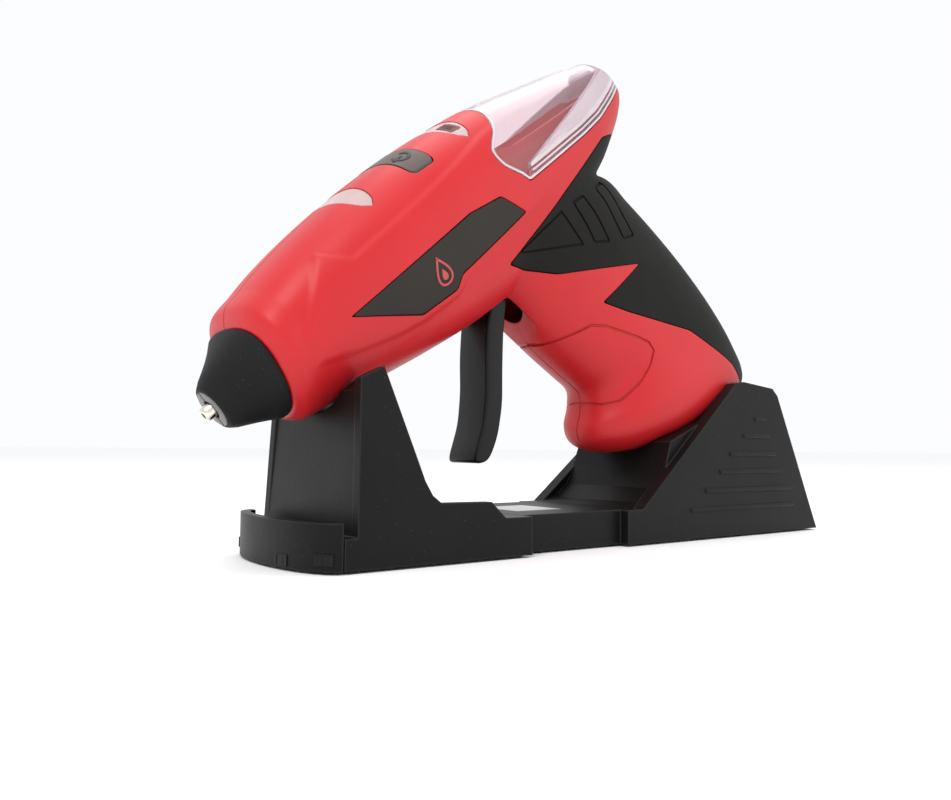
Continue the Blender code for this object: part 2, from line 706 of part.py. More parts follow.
def feed_group():
    low, high = CARRIAGE_SPAN
    half_width = CARRIAGE_HALF_WIDTH
    carriage = block("carriage", (low, -half_width, -10.5), (high, half_width, 6.5), white_plastic(), GUN)
    peg = (TRIGGER_PIVOT[0] + BELL_CRANK[0], TRIGGER_PIVOT[1] + BELL_CRANK[1])
    room = PEG_R + 0.4
    crank_half = 2.5
    cut(carriage, rod("carriage_bore", (low - 1, 0, 0), (high + 1, 0, 0), STICK_R + 0.6),
        block("carriage_slot", (low + 1, -crank_half - 0.4, -12), (high + 1, crank_half + 0.4, -2), None,
              GUN),
        block("peg_notch", (peg[0] - room, -9, -12), (peg[0] + room, 9, peg[1] + room), None, GUN),
        rod("jaw_pin_hole", (JAW_PIVOT[0], -9, JAW_PIVOT[1]), (JAW_PIVOT[0], 9, JAW_PIVOT[1]),
            JAW_PIN_R + GAP))
    x, z = JAW_PIVOT
    jaw = plate("clamp_jaw", [(x - 2.4, z - 1.4), (x - 2.9, z + 1.6), (x - 3.4, z + 4.0), (x - 1.7, z + 4.0),
                              (x + 0.3, z + 2.5), (x + 2.2, z + 1.8), (x + 2.6, z - 1.0), (x + 0.2, z - 2.0)],
                -crank_half, crank_half, spring_steel())
    cut(jaw, rod("jaw_bore", (x, -5, z), (x, 5, z), JAW_PIN_R + RUN))
    rod("jaw_pin", (x, 0.4 - half_width, z), (x, half_width - 0.4, z), JAW_PIN_R, spring_steel())

    x, z = TRIGGER_PIVOT
    half = TRIGGER_HALF_WIDTH
    trigger = plate("trigger", TRIGGER_OUTLINE, -half, half, black_plastic())
    crank = plate("crank", [(x - 2.4, z), (peg[0] - 1.5, peg[1]), (peg[0], peg[1] + 1.4),
                            (peg[0] + 1.5, peg[1]),
                            (x + 2.6, z)], -crank_half, crank_half)
    join(trigger, rod("trigger_hub", (x, -half, z), (x, half, z), TRIGGER_PIN_R + 2.5), crank,
         rod("peg", (peg[0], -half, peg[1]), (peg[0], half, peg[1]), PEG_R, segments=16))
    cut(trigger, rod("trigger_bore", (x, -20, z), (x, 20, z), TRIGGER_PIN_R + RUN))
    reach = half + 4.6
    rod("trigger_pin", (x, -reach, z), (x, reach, z), TRIGGER_PIN_R, spring_steel())


def electric_group():
    top = BOARD_LEVEL + BOARD_THICKNESS
    block("control_board", (BOARD_SPAN[0], -9.5, BOARD_LEVEL), (BOARD_SPAN[1], 9.5, top), board_green(), GUN)
    middle = sum(BUTTON_SPAN) / 2
    block("button_switch", (middle - 3, -3, top + GAP), (middle + 3, 3, SWITCH_TOP), black_plastic(), GUN,
          0.2)
    for name, span in (("front_led", FRONT_WINDOW_SPAN), ("rear_led", REAR_WINDOW_SPAN)):
        centre = min(sum(span) / 2, BOARD_SPAN[1] - 1.8)
        block(name, (centre - 1.5, -2.5, top + GAP), (centre + 1.5, 2.5, top + 1.5), white_plastic(), GUN,
              0.2)

    lean = math.radians(BATTERY_LEAN)
    along = Vector((math.sin(lean), 0, -math.cos(lean)))
    start = Vector((BATTERY_TOP[0], 0, BATTERY_TOP[1]))
    end = start + along * BATTERY_LENGTH
    rod("battery_cell", start, end, BATTERY_R, cell_wrap(), segments=24)
    rod("battery_tab_top", start - along * 0.8, start - along * GAP, 5.0, nickel(), segments=12)
    rod("battery_tab_bottom", end + along * GAP, end + along * 0.8, 5.0, nickel(), segments=12)
    for name, side in sides():
        rod("charge_contact_" + name, *contact_line(side, -1.4, -0.2), CONTACT_R, nickel(), segments=16)


def housing_screws():
    for i, (x, z) in enumerate(HOUSING_SCREWS):
        turned(f"housing_screw_{i + 1}", [(-6.5, 0), (-6.5, SCREW_R), (6.3, SCREW_R), (6.3, SCREW_HEAD_R),
                                          (8.0, SCREW_HEAD_R), (8.0, 0.9), (7.2, 0.9), (7.2, 0)],
               spring_steel(), GUN, (x, 0, z), 12, "Y")


# -------------------------------------------------------------------------------- stand
def along_stand(outline):
    """Outline points given from the stand's front face, in the world."""
    return [(STAND_FRONT + x, z) for x, z in outline]


def lean_in(target, start_z, slope):
    """Draw the sides in towards the top, a fixed amount per millimetre of height."""
    for vertex in target.data.vertices:
        drop = max(0.0, vertex.co.z - start_z * MM) * slope
        vertex.co.y -= math.copysign(min(drop, abs(vertex.co.y)), vertex.co.y)
    return target


def front_rest():
    low = FOOT_LIFT
    side_line = [(0, low), (0, LEDGE_Z), (2.9, LEDGE_Z), (4.2, PRONG_Z - 2.6), (9.8, PRONG_Z), (19.6, 18.2),
                 (21.4, 15.2), (23.6, 13.5), (37.4, 13.3), (41.4, FLOOR_Z), (SPLIT_X, FLOOR_Z),
                 (SPLIT_X, low)]
    middle_line = [(0, low), (0, LEDGE_Z), (2.9, LEDGE_Z), (4.6, PRONG_Z - 5.0), (8.6, PRONG_Z - 1.6),
                   (11.5, 30.0),
                   (15.5, 22.5), (20.5, 16.5), (27.0, 12.0), (35.0, FLOOR_Z), (SPLIT_X, FLOOR_Z),
                   (SPLIT_X, low)]
    room_line = [(STAND_WALL, -1), (STAND_WALL + 0.4, 6), (6.4, 24.0), (9.0, 27.0), (12.6, 20.5),
                 (18.0, 14.0),
                 (25.0, 9.4), (34.5, FLOOR_Z - STAND_WALL), (SPLIT_X - STAND_WALL, FLOOR_Z - STAND_WALL),
                 (SPLIT_X - STAND_WALL, -1)]
    wide = STAND_HALF_WIDTH
    inner = wide - STAND_WALL
    rest = plate("front_rest", along_stand(middle_line), -inner - 0.5, inner + 0.5, black_plastic(), STAND)
    for name, side in sides():
        edges = sorted((side * inner, side * wide))
        join(rest, plate("prong_" + name, along_stand(side_line), *edges, None, STAND))
    cut(rest, plate("rest_room", along_stand(room_line), -inner, inner, None, STAND))
    lean_in(rest, LEDGE_Z, 0.055)
    for i, x in enumerate(STAND_SCREW_X[:2]):
        place = STAND_FRONT + x
        join(rest, rod(f"rest_post_{i}", (place, 0, PLATE_TOP), (place, 0, FLOOR_Z - 1), 3.0, None, STAND))
    cut(rest, SEAT)
    return rest


def cradle():
    low = FOOT_LIFT
    start = SPLIT_X + GAP
    rear = STAND_LENGTH
    middle_line = [(start, low), (start, FLOOR_Z), (88.0, FLOOR_Z), (94.0, 10.8), (98.6, 14.6),
                   (102.0, 20.4), (104.6, 27.5), (112.0, 30.5), (131.0, 38.5), (rear - 25.0, 42.6),
                   (rear - 19.4, 40.2), (rear - 0.6, low)]
    side_line = [(83.3, low), (83.3, FLOOR_Z), (89.0, FLOOR_Z), (rear - 38.0, CRADLE_Z - 0.6),
                 (rear - 34.5, CRADLE_Z), (rear - 20.0, CRADLE_Z - 1.4), (rear - 17.6, CRADLE_Z - 3.6),
                 (rear, low)]
    room_line = [(start + STAND_WALL, -1), (start + STAND_WALL, FLOOR_Z - STAND_WALL),
                 (88.5, FLOOR_Z - STAND_WALL),
                 (95.6, 8.8), (101.0, 13.0), (106.4, 21.0), (131.0, 31.6), (rear - 25.0, 37.0),
                 (rear - 19.6, 34.0),
                 (rear - 4.6, -1)]
    waist = WAIST_HALF_WIDTH
    wide = CRADLE_HALF_WIDTH
    inner = wide - STAND_WALL
    base = plate("cradle", along_stand(middle_line), -waist, waist, black_plastic(), STAND)
    for name, side in sides():
        edges = sorted((side * (waist - 1.0), side * wide))
        join(base, plate("cradle_wall_" + name, along_stand(side_line), *edges, None, STAND))
    room_half = waist - STAND_WALL
    cut(base, plate("cradle_room", along_stand(room_line), -room_half, room_half, None, STAND))
    lean_in(base, FLOOR_Z, 0.055)
    rear_x = STAND_REAR
    for i, x in enumerate(STAND_SCREW_X[2:]):
        top = FLOOR_Z - 1 if x < 90 else 36.0
        place = STAND_FRONT + x
        join(base, rod(f"cradle_post_{i}", (place, 0, PLATE_TOP), (place, 0, top), 3.0, None, STAND))
    cut(base, SEAT,
        rod("jack_hole", (rear_x - JACK_BEHIND, 0, JACK_Z), (rear_x + 5, 0, JACK_Z), JACK_R + 0.4, None,
            STAND),
        block("label_recess", (STAND_FRONT + 57, -8.5, FLOOR_Z - 0.7), (STAND_FRONT + 73, 8.5, FLOOR_Z + 5)))
    for name, side in sides():
        start, end = contact_line(side, -1, 16)
        cut(base, rod("pin_way_" + name, gun_point(*start), gun_point(*end), PIN_R + GAP, None, STAND))
    return base


def stand_group():
    rest = front_rest()
    base = cradle()
    plate_low = (STAND_FRONT + 4.0, -15.5, PLATE_BOTTOM)
    plate_high = (STAND_REAR - 6.5, 15.5, PLATE_TOP)
    grown_low = (plate_low[0] - GAP, plate_low[1] - GAP, 0)
    grown_high = (plate_high[0] + GAP, plate_high[1] + GAP, PLATE_TOP + GAP)
    rebate = block("plate_rebate", grown_low, grown_high)
    screw_ways = []
    for i, x in enumerate(STAND_SCREW_X):
        place = STAND_FRONT + x
        screw_ways.append(rod(f"stand_screw_way_{i}", (place, 0, 0), (place, 0, 8.4), SCREW_R + GAP, None,
                              STAND, 12))
    base_plate = block("base_plate", plate_low, plate_high, black_plastic())
    cut(base_plate, *screw_ways)
    for i, x in enumerate(STAND_SCREW_X):
        place = STAND_FRONT + x
        head_top = PLATE_BOTTOM + 1.0
        head_r = SCREW_HEAD_R + GAP
        cut(base_plate, rod(f"stand_head_{i}", (place, 0, 0), (place, 0, head_top), head_r, None, STAND, 16))
        turned(f"stand_screw_{i + 1}", [(PLATE_BOTTOM + 0.3, 0), (PLATE_BOTTOM + 0.3, 0.8),
                                        (PLATE_BOTTOM - 0.1, 0.8), (PLATE_BOTTOM - 0.1, SCREW_HEAD_R),
                                        (PLATE_BOTTOM + 0.7, SCREW_HEAD_R), (PLATE_BOTTOM + 0.7, SCREW_R),
                                        (8.0, SCREW_R), (8.0, 0)], spring_steel(), STAND, (place, 0, 0), 12,
                                        "Z")
    foot = 0
    for x in FOOT_X:
        for y in (-FOOT_Y, FOOT_Y):
            foot += 1
            place = (STAND_FRONT + x, y)
            rod(f"foot_{foot}", (*place, 0), (*place, 1.5), FOOT_R, soft_black(), STAND)
            cut(base_plate, rod(f"foot_pocket_{foot}", (*place, -1), (*place, 1.8), FOOT_R + GAP, None,
                                STAND))
    cut(rest, rebate, *screw_ways[:2])
    cut(base, rebate, *screw_ways[2:])

    front = STAND_FRONT
    block("label_plate", (front + 57.4, -8.1, FLOOR_Z - 0.4), (front + 72.6, 8.1, FLOOR_Z), label_silver())
    block("charger_board", (front + 66, -13, PLATE_TOP + GAP), (front + 92, 13, PLATE_TOP + 1.7),
          board_green())
    jack_x = STAND_REAR - JACK_BEHIND
    low = (jack_x - 8, -JACK_HALF, JACK_Z - JACK_HALF)
    high = (jack_x, JACK_HALF, JACK_Z + JACK_HALF)
    jack = block("charging_jack", low, high, black_plastic(), STAND, 0.4)
    cut(jack, rod("jack_bore", (jack_x - 6.5, 0, JACK_Z), (jack_x + 2, 0, JACK_Z), JACK_R, None, STAND))
    drip_tray(rest)
    for name, side in sides():
        start, end = contact_line(side, 0.2, 9.0)
        rod("charge_pin_" + name, gun_point(*start), gun_point(*end), PIN_R, nickel(), STAND, 16)


def drip_tray(rest):
    """Half-oval tray in front, held by two tongues."""
    def oval(name, reach, half_width, low, high, look=None):
        made = rod(name, (STAND_FRONT, 0, low), (STAND_FRONT, 0, high), 1.0, look, STAND, 40)
        for vertex in made.data.vertices:
            vertex.co.x = STAND_FRONT * MM + (vertex.co.x - STAND_FRONT * MM) * reach
            vertex.co.y *= half_width
        return made

    wall = STAND_WALL
    tray = oval("drip_tray", TRAY_REACH, STAND_HALF_WIDTH, FOOT_LIFT, TRAY_Z, black_plastic())
    cut(tray, block("tray_split", (STAND_FRONT - GAP, -40, -5), (STAND_FRONT + 30, 40, 30)),
        oval("tray_room", TRAY_REACH - wall, STAND_HALF_WIDTH - wall, LEDGE_Z, TRAY_Z + 5),
        oval("tray_under", TRAY_REACH - wall, STAND_HALF_WIDTH - wall, -1, LEDGE_Z - 1.8))
    for i, y in enumerate((-12.0, 12.0)):
        start = STAND_FRONT - 5.0
        join(tray, block(f"tongue_{i}", (start, y - 2.5, 4.4), (STAND_FRONT + 4.4, y + 2.5, 6.4)))
        cut(rest, block(f"tongue_way_{i}", (STAND_FRONT - 1, y - 2.8, 4.1), (STAND_FRONT + 5, y + 2.8, 6.7)))


def place_origins():
    """Put the origin of each moving piece on its joint's axis."""
    pivot = (TRIGGER_PIVOT[0], 0, TRIGGER_PIVOT[1])
    jaw = (JAW_PIVOT[0], 0, JAW_PIVOT[1])
    origins = {"trigger": pivot, "trigger_pin": pivot, "clamp_jaw": jaw, "jaw_pin": jaw,
               "carriage": (sum(CARRIAGE_SPAN) / 2, 0, 0),
               "power_button": (sum(BUTTON_SPAN) / 2, 0, SWITCH_TOP),
               "drip_tray": (STAND_FRONT, 0, FOOT_LIFT)}
    for name, side in sides():
        origins["charge_pin_" + name] = gun_point(*contact_line(side, 0.2, 9.0)[0])
    for name, place in origins.items():
        made = bpy.data.objects[name]
        shift = Vector(place) * MM - made.location
        made.data.transform(Matrix.Translation(-shift))
        made.location += shift


SEAT = body_solid("seat", -0.5)
gun_shells()
nozzle_group()
return_spring()
feed_group()
electric_group()
housing_screws()
stand_group()
place_origins()
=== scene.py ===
import json
import math

import bmesh
import bpy
import numpy as np
from mathutils import Matrix, Vector

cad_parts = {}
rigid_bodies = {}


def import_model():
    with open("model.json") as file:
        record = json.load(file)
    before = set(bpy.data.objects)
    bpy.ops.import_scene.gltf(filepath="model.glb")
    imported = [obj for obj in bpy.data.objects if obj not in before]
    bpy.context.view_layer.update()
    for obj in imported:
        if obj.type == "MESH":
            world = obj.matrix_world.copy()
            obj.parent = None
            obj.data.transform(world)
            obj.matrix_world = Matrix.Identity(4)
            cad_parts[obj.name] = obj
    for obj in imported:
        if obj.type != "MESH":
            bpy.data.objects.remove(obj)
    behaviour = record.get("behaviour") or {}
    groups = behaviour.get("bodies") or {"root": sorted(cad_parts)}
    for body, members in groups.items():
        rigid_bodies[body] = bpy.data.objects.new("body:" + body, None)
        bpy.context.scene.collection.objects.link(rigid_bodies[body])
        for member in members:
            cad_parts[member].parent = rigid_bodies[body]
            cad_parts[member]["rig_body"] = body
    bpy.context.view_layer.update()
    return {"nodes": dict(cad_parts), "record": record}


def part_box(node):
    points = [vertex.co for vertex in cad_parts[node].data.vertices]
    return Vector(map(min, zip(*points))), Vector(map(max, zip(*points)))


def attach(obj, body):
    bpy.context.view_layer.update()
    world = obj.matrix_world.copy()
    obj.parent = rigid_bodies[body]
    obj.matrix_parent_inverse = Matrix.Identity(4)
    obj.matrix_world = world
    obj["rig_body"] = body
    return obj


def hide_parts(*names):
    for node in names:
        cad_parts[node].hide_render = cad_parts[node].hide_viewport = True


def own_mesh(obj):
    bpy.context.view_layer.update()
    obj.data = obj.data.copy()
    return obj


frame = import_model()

MM = 0.001
GAP = 0.3
SPLIT = 0.01
WALL = 2.4
SKIN = 1.2
POINTS = 112
STEPS = 7
VOXEL = 0.5
PITCH = 40.0
STICK_R = 3.5
SPRING_SPAN = (60.4, 69.2)
BARREL_START = 12.9
BARREL_LENGTH = 136.8
BARREL_HALF_WIDTH = 18.9
HANDLE_HALF_WIDTH = 16.2
RIM_LEAN = 0.08
REAR_LEAN = 0.22
GUARD_LIP = 1.8
CHAMBER_R = 6.5
TRIGGER_PIVOT = (79.0, -18.0)
TRIGGER_HALF_WIDTH = 6.0
TRIGGER_PIN_R = 1.5
CONTACT_PLACE = (104.0, -90.4)
CONTACT_LEAN = 18.1
CONTACT_HALF_SPREAD = 5.5
CONTACT_R = 2.6
HOUSING_SCREWS = [(37.0, -13.2), (46.0, 13.2), (101.0, -14.2), (91.0, -54.5), (138.0, -62.0)]
SCREW_HEAD_R = 2.3
SCREW_R = 1.1
BOSS_R = 3.4
UPPER_POWER = 2.5
LOWER_POWER = 2.2
HANDLE_POWER = 2.35

# Barrel sections: share of the length, top, bottom, share of the half-width, widest level.
BARREL_SECTIONS = [
    (0.000, 11.9, -11.0, 0.800, 2.8), (0.016, 14.8, -13.5, 0.930, 3.3), (0.075, 17.3, -15.7, 0.950, 3.5),
    (0.145, 19.1, -17.8, 0.970, 3.0), (0.235, 20.6, -20.3, 0.990, 2.0), (0.325, 21.5, -22.6, 1.000, 1.0),
    (0.415, 21.8, -24.4, 1.000, 0.0), (0.505, 21.6, -25.0, 0.985, -1.0), (0.595, 20.7, -24.0, 0.945, -2.0),
    (0.690, 18.9, -21.0, 0.880, -2.0), (0.780, 16.8, -18.0, 0.795, -2.0), (0.865, 14.8, -14.8, 0.700, -1.0),
    (0.935, 13.1, -10.3, 0.590, 0.5), (0.978, 12.0, -6.8, 0.500, 1.5), (1.000, 10.4, -4.6, 0.430, 2.0)]
# Handle sections: front point, back point, share of the half-width.
HANDLE_SECTIONS = [
    (74.0, -18.0, 116.0, -6.0, 0.96), (77.0, -27.0, 129.5, -16.0, 1.00), (79.2, -36.0, 133.8, -26.0, 0.97),
    (82.0, -46.0, 138.5, -39.0, 0.94), (85.0, -55.0, 142.5, -53.0, 0.93), (87.0, -62.0, 145.3, -67.0, 0.94),
    (83.8, -66.5, 146.4, -79.0, 1.00), (79.8, -69.5, 146.2, -88.0, 1.05), (78.6, -74.0, 145.8, -94.5, 1.04),
    (82.5, -80.0, 144.0, -99.0, 0.92), (90.5, -86.0, 138.0, -101.5, 0.66)]
COVER_OUTLINE = [(93.6, -1.9), (92.6, 0.2), (90.5, 2.6), (88.6, 5.0), (87.9, 7.6), (88.3, 10.0), (90.7, 11.6),
                 (93.6, 13.2), (95.7, 15.1), (97.0, 17.4), (97.8, 20.0), (98.0, 26.0), (160.0, 26.0),
                 (160.0, 2.6), (143.0, -0.6), (132.0, -2.2), (122.0, -2.5), (112.0, -2.3), (102.8, -2.1)]
BULKHEAD_OUTLINE = [(92.4, -8.6), (89.0, 0.4), (86.3, 4.8), (85.6, 10.6), (90.6, 14.2), (93.8, 18.0), (95.6, 26.0),
                    (160.0, 26.0), (160.0, -20.0), (133.0, -12.7), (119.0, -13.1), (104.0, -8.6)]
TROUGH_OUTLINE = [(96.0, -4.4), (92.0, 2.4), (89.8, 8.6), (94.4, 12.4), (98.0, 17.4), (148.0, 17.4), (145.0, -0.4)]
GRIP_OUTLINE = [(77.2, -15.2), (104.4, -10.5), (129.0, -6.6), (137.0, -8.5), (150.0, -20.0), (160.0, -60.0),
                (160.0, -97.4), (134.8, -97.4), (132.6, -86.0), (122.5, -66.5), (105.0, -48.0), (98.8, -40.8),
                (117.4, -40.2), (89.7, -25.8)]
INLAY_OUTLINE = [(31.4, 0.3), (71.7, 1.5), (82.4, -0.1), (87.3, -6.9), (61.5, -8.3), (58.7, -10.5), (47.3, -9.8)]
# Raised side panel, between the crease under the top and the belt below the inlay.
PANEL_OUTLINE = [(34.0, 15.0), (36.5, 12.6), (39.6, 9.7), (54.8, 10.7), (65.7, 11.4), (78.0, 12.6), (90.0, 14.2),
                 (110.0, 14.2), (110.0, -7.6), (98.0, -8.0), (85.2, -8.4), (75.4, -9.3), (63.0, -10.2),
                 (58.6, -12.3), (47.1, -11.6), (39.9, -10.2), (29.1, -7.0), (19.5, -3.5), (19.5, 3.0), (27.0, 9.0)]
GRIP_TRIANGLE = [(80.8, -14.4), (100.4, -13.3), (101.1, -24.6)]
GRIP_BARS = [[(105.2, -13.6), (110.7, -14.4), (110.5, -29.3), (104.6, -26.2)],
             [(116.6, -15.4), (121.9, -15.8), (121.1, -33.4), (115.6, -31.6)]]
HANDLE_GROOVE = [(80.5, -39.8), (81.0, -41.0), (82.7, -41.7), (88.0, -42.8), (92.2, -43.6), (95.8, -46.4),
                 (99.4, -50.6), (103.4, -55.4), (106.3, -59.6), (106.4, -62.4), (103.0, -64.8), (97.7, -66.6),
                 (90.0, -67.4), (86.6, -66.0), (85.6, -64.4)]


# ---------------------------------------------------------------------------- mesh tools
def work(name, bm):
    bmesh.ops.recalc_face_normals(bm, faces=bm.faces)
    mesh = bpy.data.meshes.new(name)
    bm.to_mesh(mesh)
    bm.free()
    made = bpy.data.objects.new(name, mesh)
    bpy.context.scene.collection.objects.link(made)
    return made


def freeze(target):
    bpy.context.view_layer.update()
    mesh = bpy.data.meshes.new_from_object(target.evaluated_get(bpy.context.evaluated_depsgraph_get()))
    target.modifiers.clear()
    target.data = mesh
    return target


def combine(target, operation, *others):
    for other in others:
        step = target.modifiers.new(other.name, "BOOLEAN")
        step.object = other
        step.operation = operation
        step.solver = "MANIFOLD"
    return freeze(target)


def cut(target, *others):
    return combine(target, "DIFFERENCE", *others)


def join(target, *others):
    return combine(target, "UNION", *others)


def keep(target, *others):
    return combine(target, "INTERSECT", *others)


def copy_of(source, name):
    made = bpy.data.objects.new(name, source.data.copy())
    bpy.context.scene.collection.objects.link(made)
    return made


def prism(name, outline, low, high, across="Y"):
    """An outline of (x, z) points made thick along Y, or of (x, y) points made thick along Z."""
    bm = bmesh.new()
    rings = []
    for level in (low, high):
        places = [(a, level, b) if across == "Y" else (a, b, level) for a, b in outline]
        rings.append([bm.verts.new(place) for place in places])
    count = len(outline)
    for i in range(count):
        j = (i + 1) % count
        bm.faces.new((rings[0][i], rings[0][j], rings[1][j], rings[1][i]))
    bm.faces.new(rings[0])
    bm.faces.new(rings[1])
    return work(name, bm)


def rod(name, start, end, radius, segments=40, tip=None):
    start, end = Vector(start), Vector(end)
    axis = end - start
    bm = bmesh.new()
    bmesh.ops.create_cone(bm, cap_ends=True, segments=segments, radius1=radius,
                          radius2=radius if tip is None else tip, depth=axis.length)
    turn = axis.to_track_quat("Z", "Y").to_matrix().to_4x4()
    bmesh.ops.transform(bm, matrix=Matrix.Translation((start + end) / 2) @ turn, verts=bm.verts)
    return work(name, bm)


def turned(name, profile, steps=64):
    """A closed profile of (distance along x, radius) turned about the stick's axis."""
    bm = bmesh.new()
    rings = []
    for along, radius in profile:
        rings.append([bm.verts.new((along, radius * math.cos(2 * math.pi * i / steps),
                                    radius * math.sin(2 * math.pi * i / steps))) for i in range(steps)])
    for near, far in zip(rings, rings[1:] + rings[:1]):
        for i in range(steps):
            j = (i + 1) % steps
            bm.faces.new((near[i], near[j], far[j], far[i]))
    return work(name, bm)


def loft(name, rings):
    bm = bmesh.new()
    loops = [[bm.verts.new(point) for point in ring] for ring in rings]
    count = len(loops[0])
    for near, far in zip(loops, loops[1:]):
        for i in range(count):
            j = (i + 1) % count
            bm.faces.new((near[i], near[j], far[j], far[i]))
    bm.faces.new(loops[0])
    bm.faces.new(loops[-1])
    return work(name, bm)


def between(rows, steps):
    """Rows of numbers with smooth steps between them; the first span stays straight."""
    rows = [np.array(row, float) for row in rows]
    made = [rows[0]]
    for i in range(len(rows) - 1):
        near, far = rows[i], rows[i + 1]
        before, after = rows[max(i - 1, 0)], rows[min(i + 2, len(rows) - 1)]
        for k in range(1, steps + 1):
            t = k / steps
            if i == 0:
                made.append(near + (far - near) * t)
                continue
            made.append(0.5 * (2 * near + (far - before) * t + (2 * before - 5 * near + 4 * far - after) * t ** 2
                               + (3 * near - before - 3 * far + after) * t ** 3))
    return made


def rounded(outline, radius, steps=5):
    """The outline with each corner turned into an arc."""
    made = []
    count = len(outline)
    for i in range(count):
        before, here, after = (Vector(outline[j % count]) for j in (i - 1, i, i + 1))
        start = here + (before - here).normalized() * min(radius, (before - here).length * 0.45)
        end = here + (after - here).normalized() * min(radius, (after - here).length * 0.45)
        for k in range(steps + 1):
            t = k / steps
            made.append(tuple(start * (1 - t) ** 2 + here * 2 * t * (1 - t) + end * t ** 2))
    return made


def offset_outline(outline, distance):
    count = len(outline)
    area = sum(outline[i - 1][0] * outline[i][1] - outline[i][0] * outline[i - 1][1] for i in range(count))
    side = math.copysign(1.0, area)
    moved = []
    for i in range(count):
        before, here, after = (Vector(outline[j % count]) for j in (i - 1, i, i + 1))
        into = (here - before).normalized()
        out = (after - here).normalized()
        normals = [Vector((edge.y, -edge.x)) * side for edge in (into, out)]
        mitre = (normals[0] + normals[1]).normalized()
        moved.append(tuple(here + mitre * distance / max(mitre.dot(normals[0]), 0.5)))
    return moved


def ribbon(points, width):
    """A closed outline of this width along an open line of points."""
    points = [Vector(p) for p in points]
    left, right = [], []
    for i, here in enumerate(points):
        way = (points[min(i + 1, len(points) - 1)] - points[max(i - 1, 0)]).normalized()
        side = Vector((way.y, -way.x)) * width / 2
        left.append(tuple(here + side))
        right.append(tuple(here - side))
    return left + right[::-1]


def bent(value, power):
    return math.copysign(abs(value) ** (2 / power), value)


def barrel_ring(section, inset):
    share, top, bottom, wide, level = section
    along = BARREL_START + share * BARREL_LENGTH
    lean = RIM_LEAN * max(0.0, 1 - share * 5) - REAR_LEAN * max(0.0, 1 - (1 - share) * 10)
    ring = []
    for i in range(POINTS):
        turn = 2 * math.pi * i / POINTS
        upper = math.sin(turn) >= 0
        power = UPPER_POWER if upper else LOWER_POWER
        rise = (top - inset - level) if upper else (level - bottom - inset)
        y = max(BARREL_HALF_WIDTH * wide - inset, 0.5) * bent(math.cos(turn), power)
        z = level + max(rise, 0.3) * bent(math.sin(turn), power)
        ring.append((along + lean * z, y, z))
    return ring


def handle_ring(section, inset):
    front = Vector((section[0], 0, section[1]))
    back = Vector((section[2], 0, section[3]))
    centre = (front + back) / 2
    reach = (back - front) / 2
    reach = reach * (1 - inset / reach.length)
    half_width = HANDLE_HALF_WIDTH * section[4] - inset
    ring = []
    for i in range(POINTS):
        turn = 2 * math.pi * i / POINTS
        place = centre + reach * bent(math.cos(turn), HANDLE_POWER)
        ring.append((place.x, half_width * bent(math.sin(turn), HANDLE_POWER), place.z))
    return ring


def body_solid(name, inset):
    barrel_rows = between(BARREL_SECTIONS, STEPS)
    handle_rows = between(HANDLE_SECTIONS, STEPS)
    if inset > SKIN + GAP:
        barrel_rows = [row for row in barrel_rows if 0.02 < row[0] < 0.98]
        handle_rows = handle_rows[:-STEPS]
    elif inset > 0:
        lean = math.radians(CONTACT_LEAN)
        past = np.array((-math.sin(lean), -math.cos(lean), -math.sin(lean), -math.cos(lean), 0))
        handle_rows.append(handle_rows[-1] + past)
    barrel = loft(name, [barrel_ring(row, inset) for row in barrel_rows])
    return join(barrel, loft(name + "_handle", [handle_ring(row, inset) for row in handle_rows]))


def signed_distance(points, outline):
    """Distance of each (x, z) point inside a closed outline; outside it is negative."""
    best = np.full(len(points), 1e9)
    inside = np.zeros(len(points), bool)
    corners = [np.array(c) for c in outline]
    for a, b in zip(corners, corners[1:] + corners[:1]):
        edge = b - a
        t = np.clip(((points - a) @ edge) / (edge @ edge), 0, 1)
        best = np.minimum(best, np.linalg.norm(points - (a + t[:, None] * edge), axis=1))
        crosses = (a[1] > points[:, 1]) != (b[1] > points[:, 1])
        rise = edge[1] if abs(edge[1]) > 1e-9 else 1e-9
        inside ^= crosses & (points[:, 0] < edge[0] * (points[:, 1] - a[1]) / rise + a[0])
    return np.where(inside, best, -best)


def coordinates(mesh):
    co = np.zeros(len(mesh.vertices) * 3)
    mesh.vertices.foreach_get("co", co)
    return co.reshape(-1, 3)


def swollen(source, name, distance):
    """A copy whose surface stands out by a distance along its normals."""
    made = copy_of(source, name)
    normals = np.zeros(len(made.data.vertices) * 3)
    made.data.vertices.foreach_get("normal", normals)
    made.data.vertices.foreach_set("co", (coordinates(made.data) + normals.reshape(-1, 3) * distance).ravel())
    return made


def smooth_body():
    """Barrel and handle in one skin, blended where they meet, with the raised side panel."""
    body = body_solid("outer", 0.0)
    step = body.modifiers.new("even", "REMESH")
    step.mode = "VOXEL"
    step.voxel_size = VOXEL
    step = body.modifiers.new("soft", "SMOOTH")
    step.factor = 0.5
    step.iterations = 10
    freeze(body)
    co = coordinates(body.data)
    normals = np.zeros(len(co) * 3)
    body.data.vertices.foreach_get("normal", normals)
    inside = np.clip(signed_distance(co[:, [0, 2]], PANEL_OUTLINE) / 2.0 + 0.5, 0, 1)
    rise = 0.45 * (inside * inside * (3 - 2 * inside) - 1)
    fade = np.clip((co[:, 0] - 17.0) / 4, 0, 1) * np.clip((100.0 - co[:, 0]) / 12, 0, 1)
    above = np.clip((co[:, 2] + 20.0) / 6, 0, 1)
    rise = rise * fade * above
    body.data.vertices.foreach_set("co", (co + normals.reshape(-1, 3) * rise[:, None]).ravel())
    return body


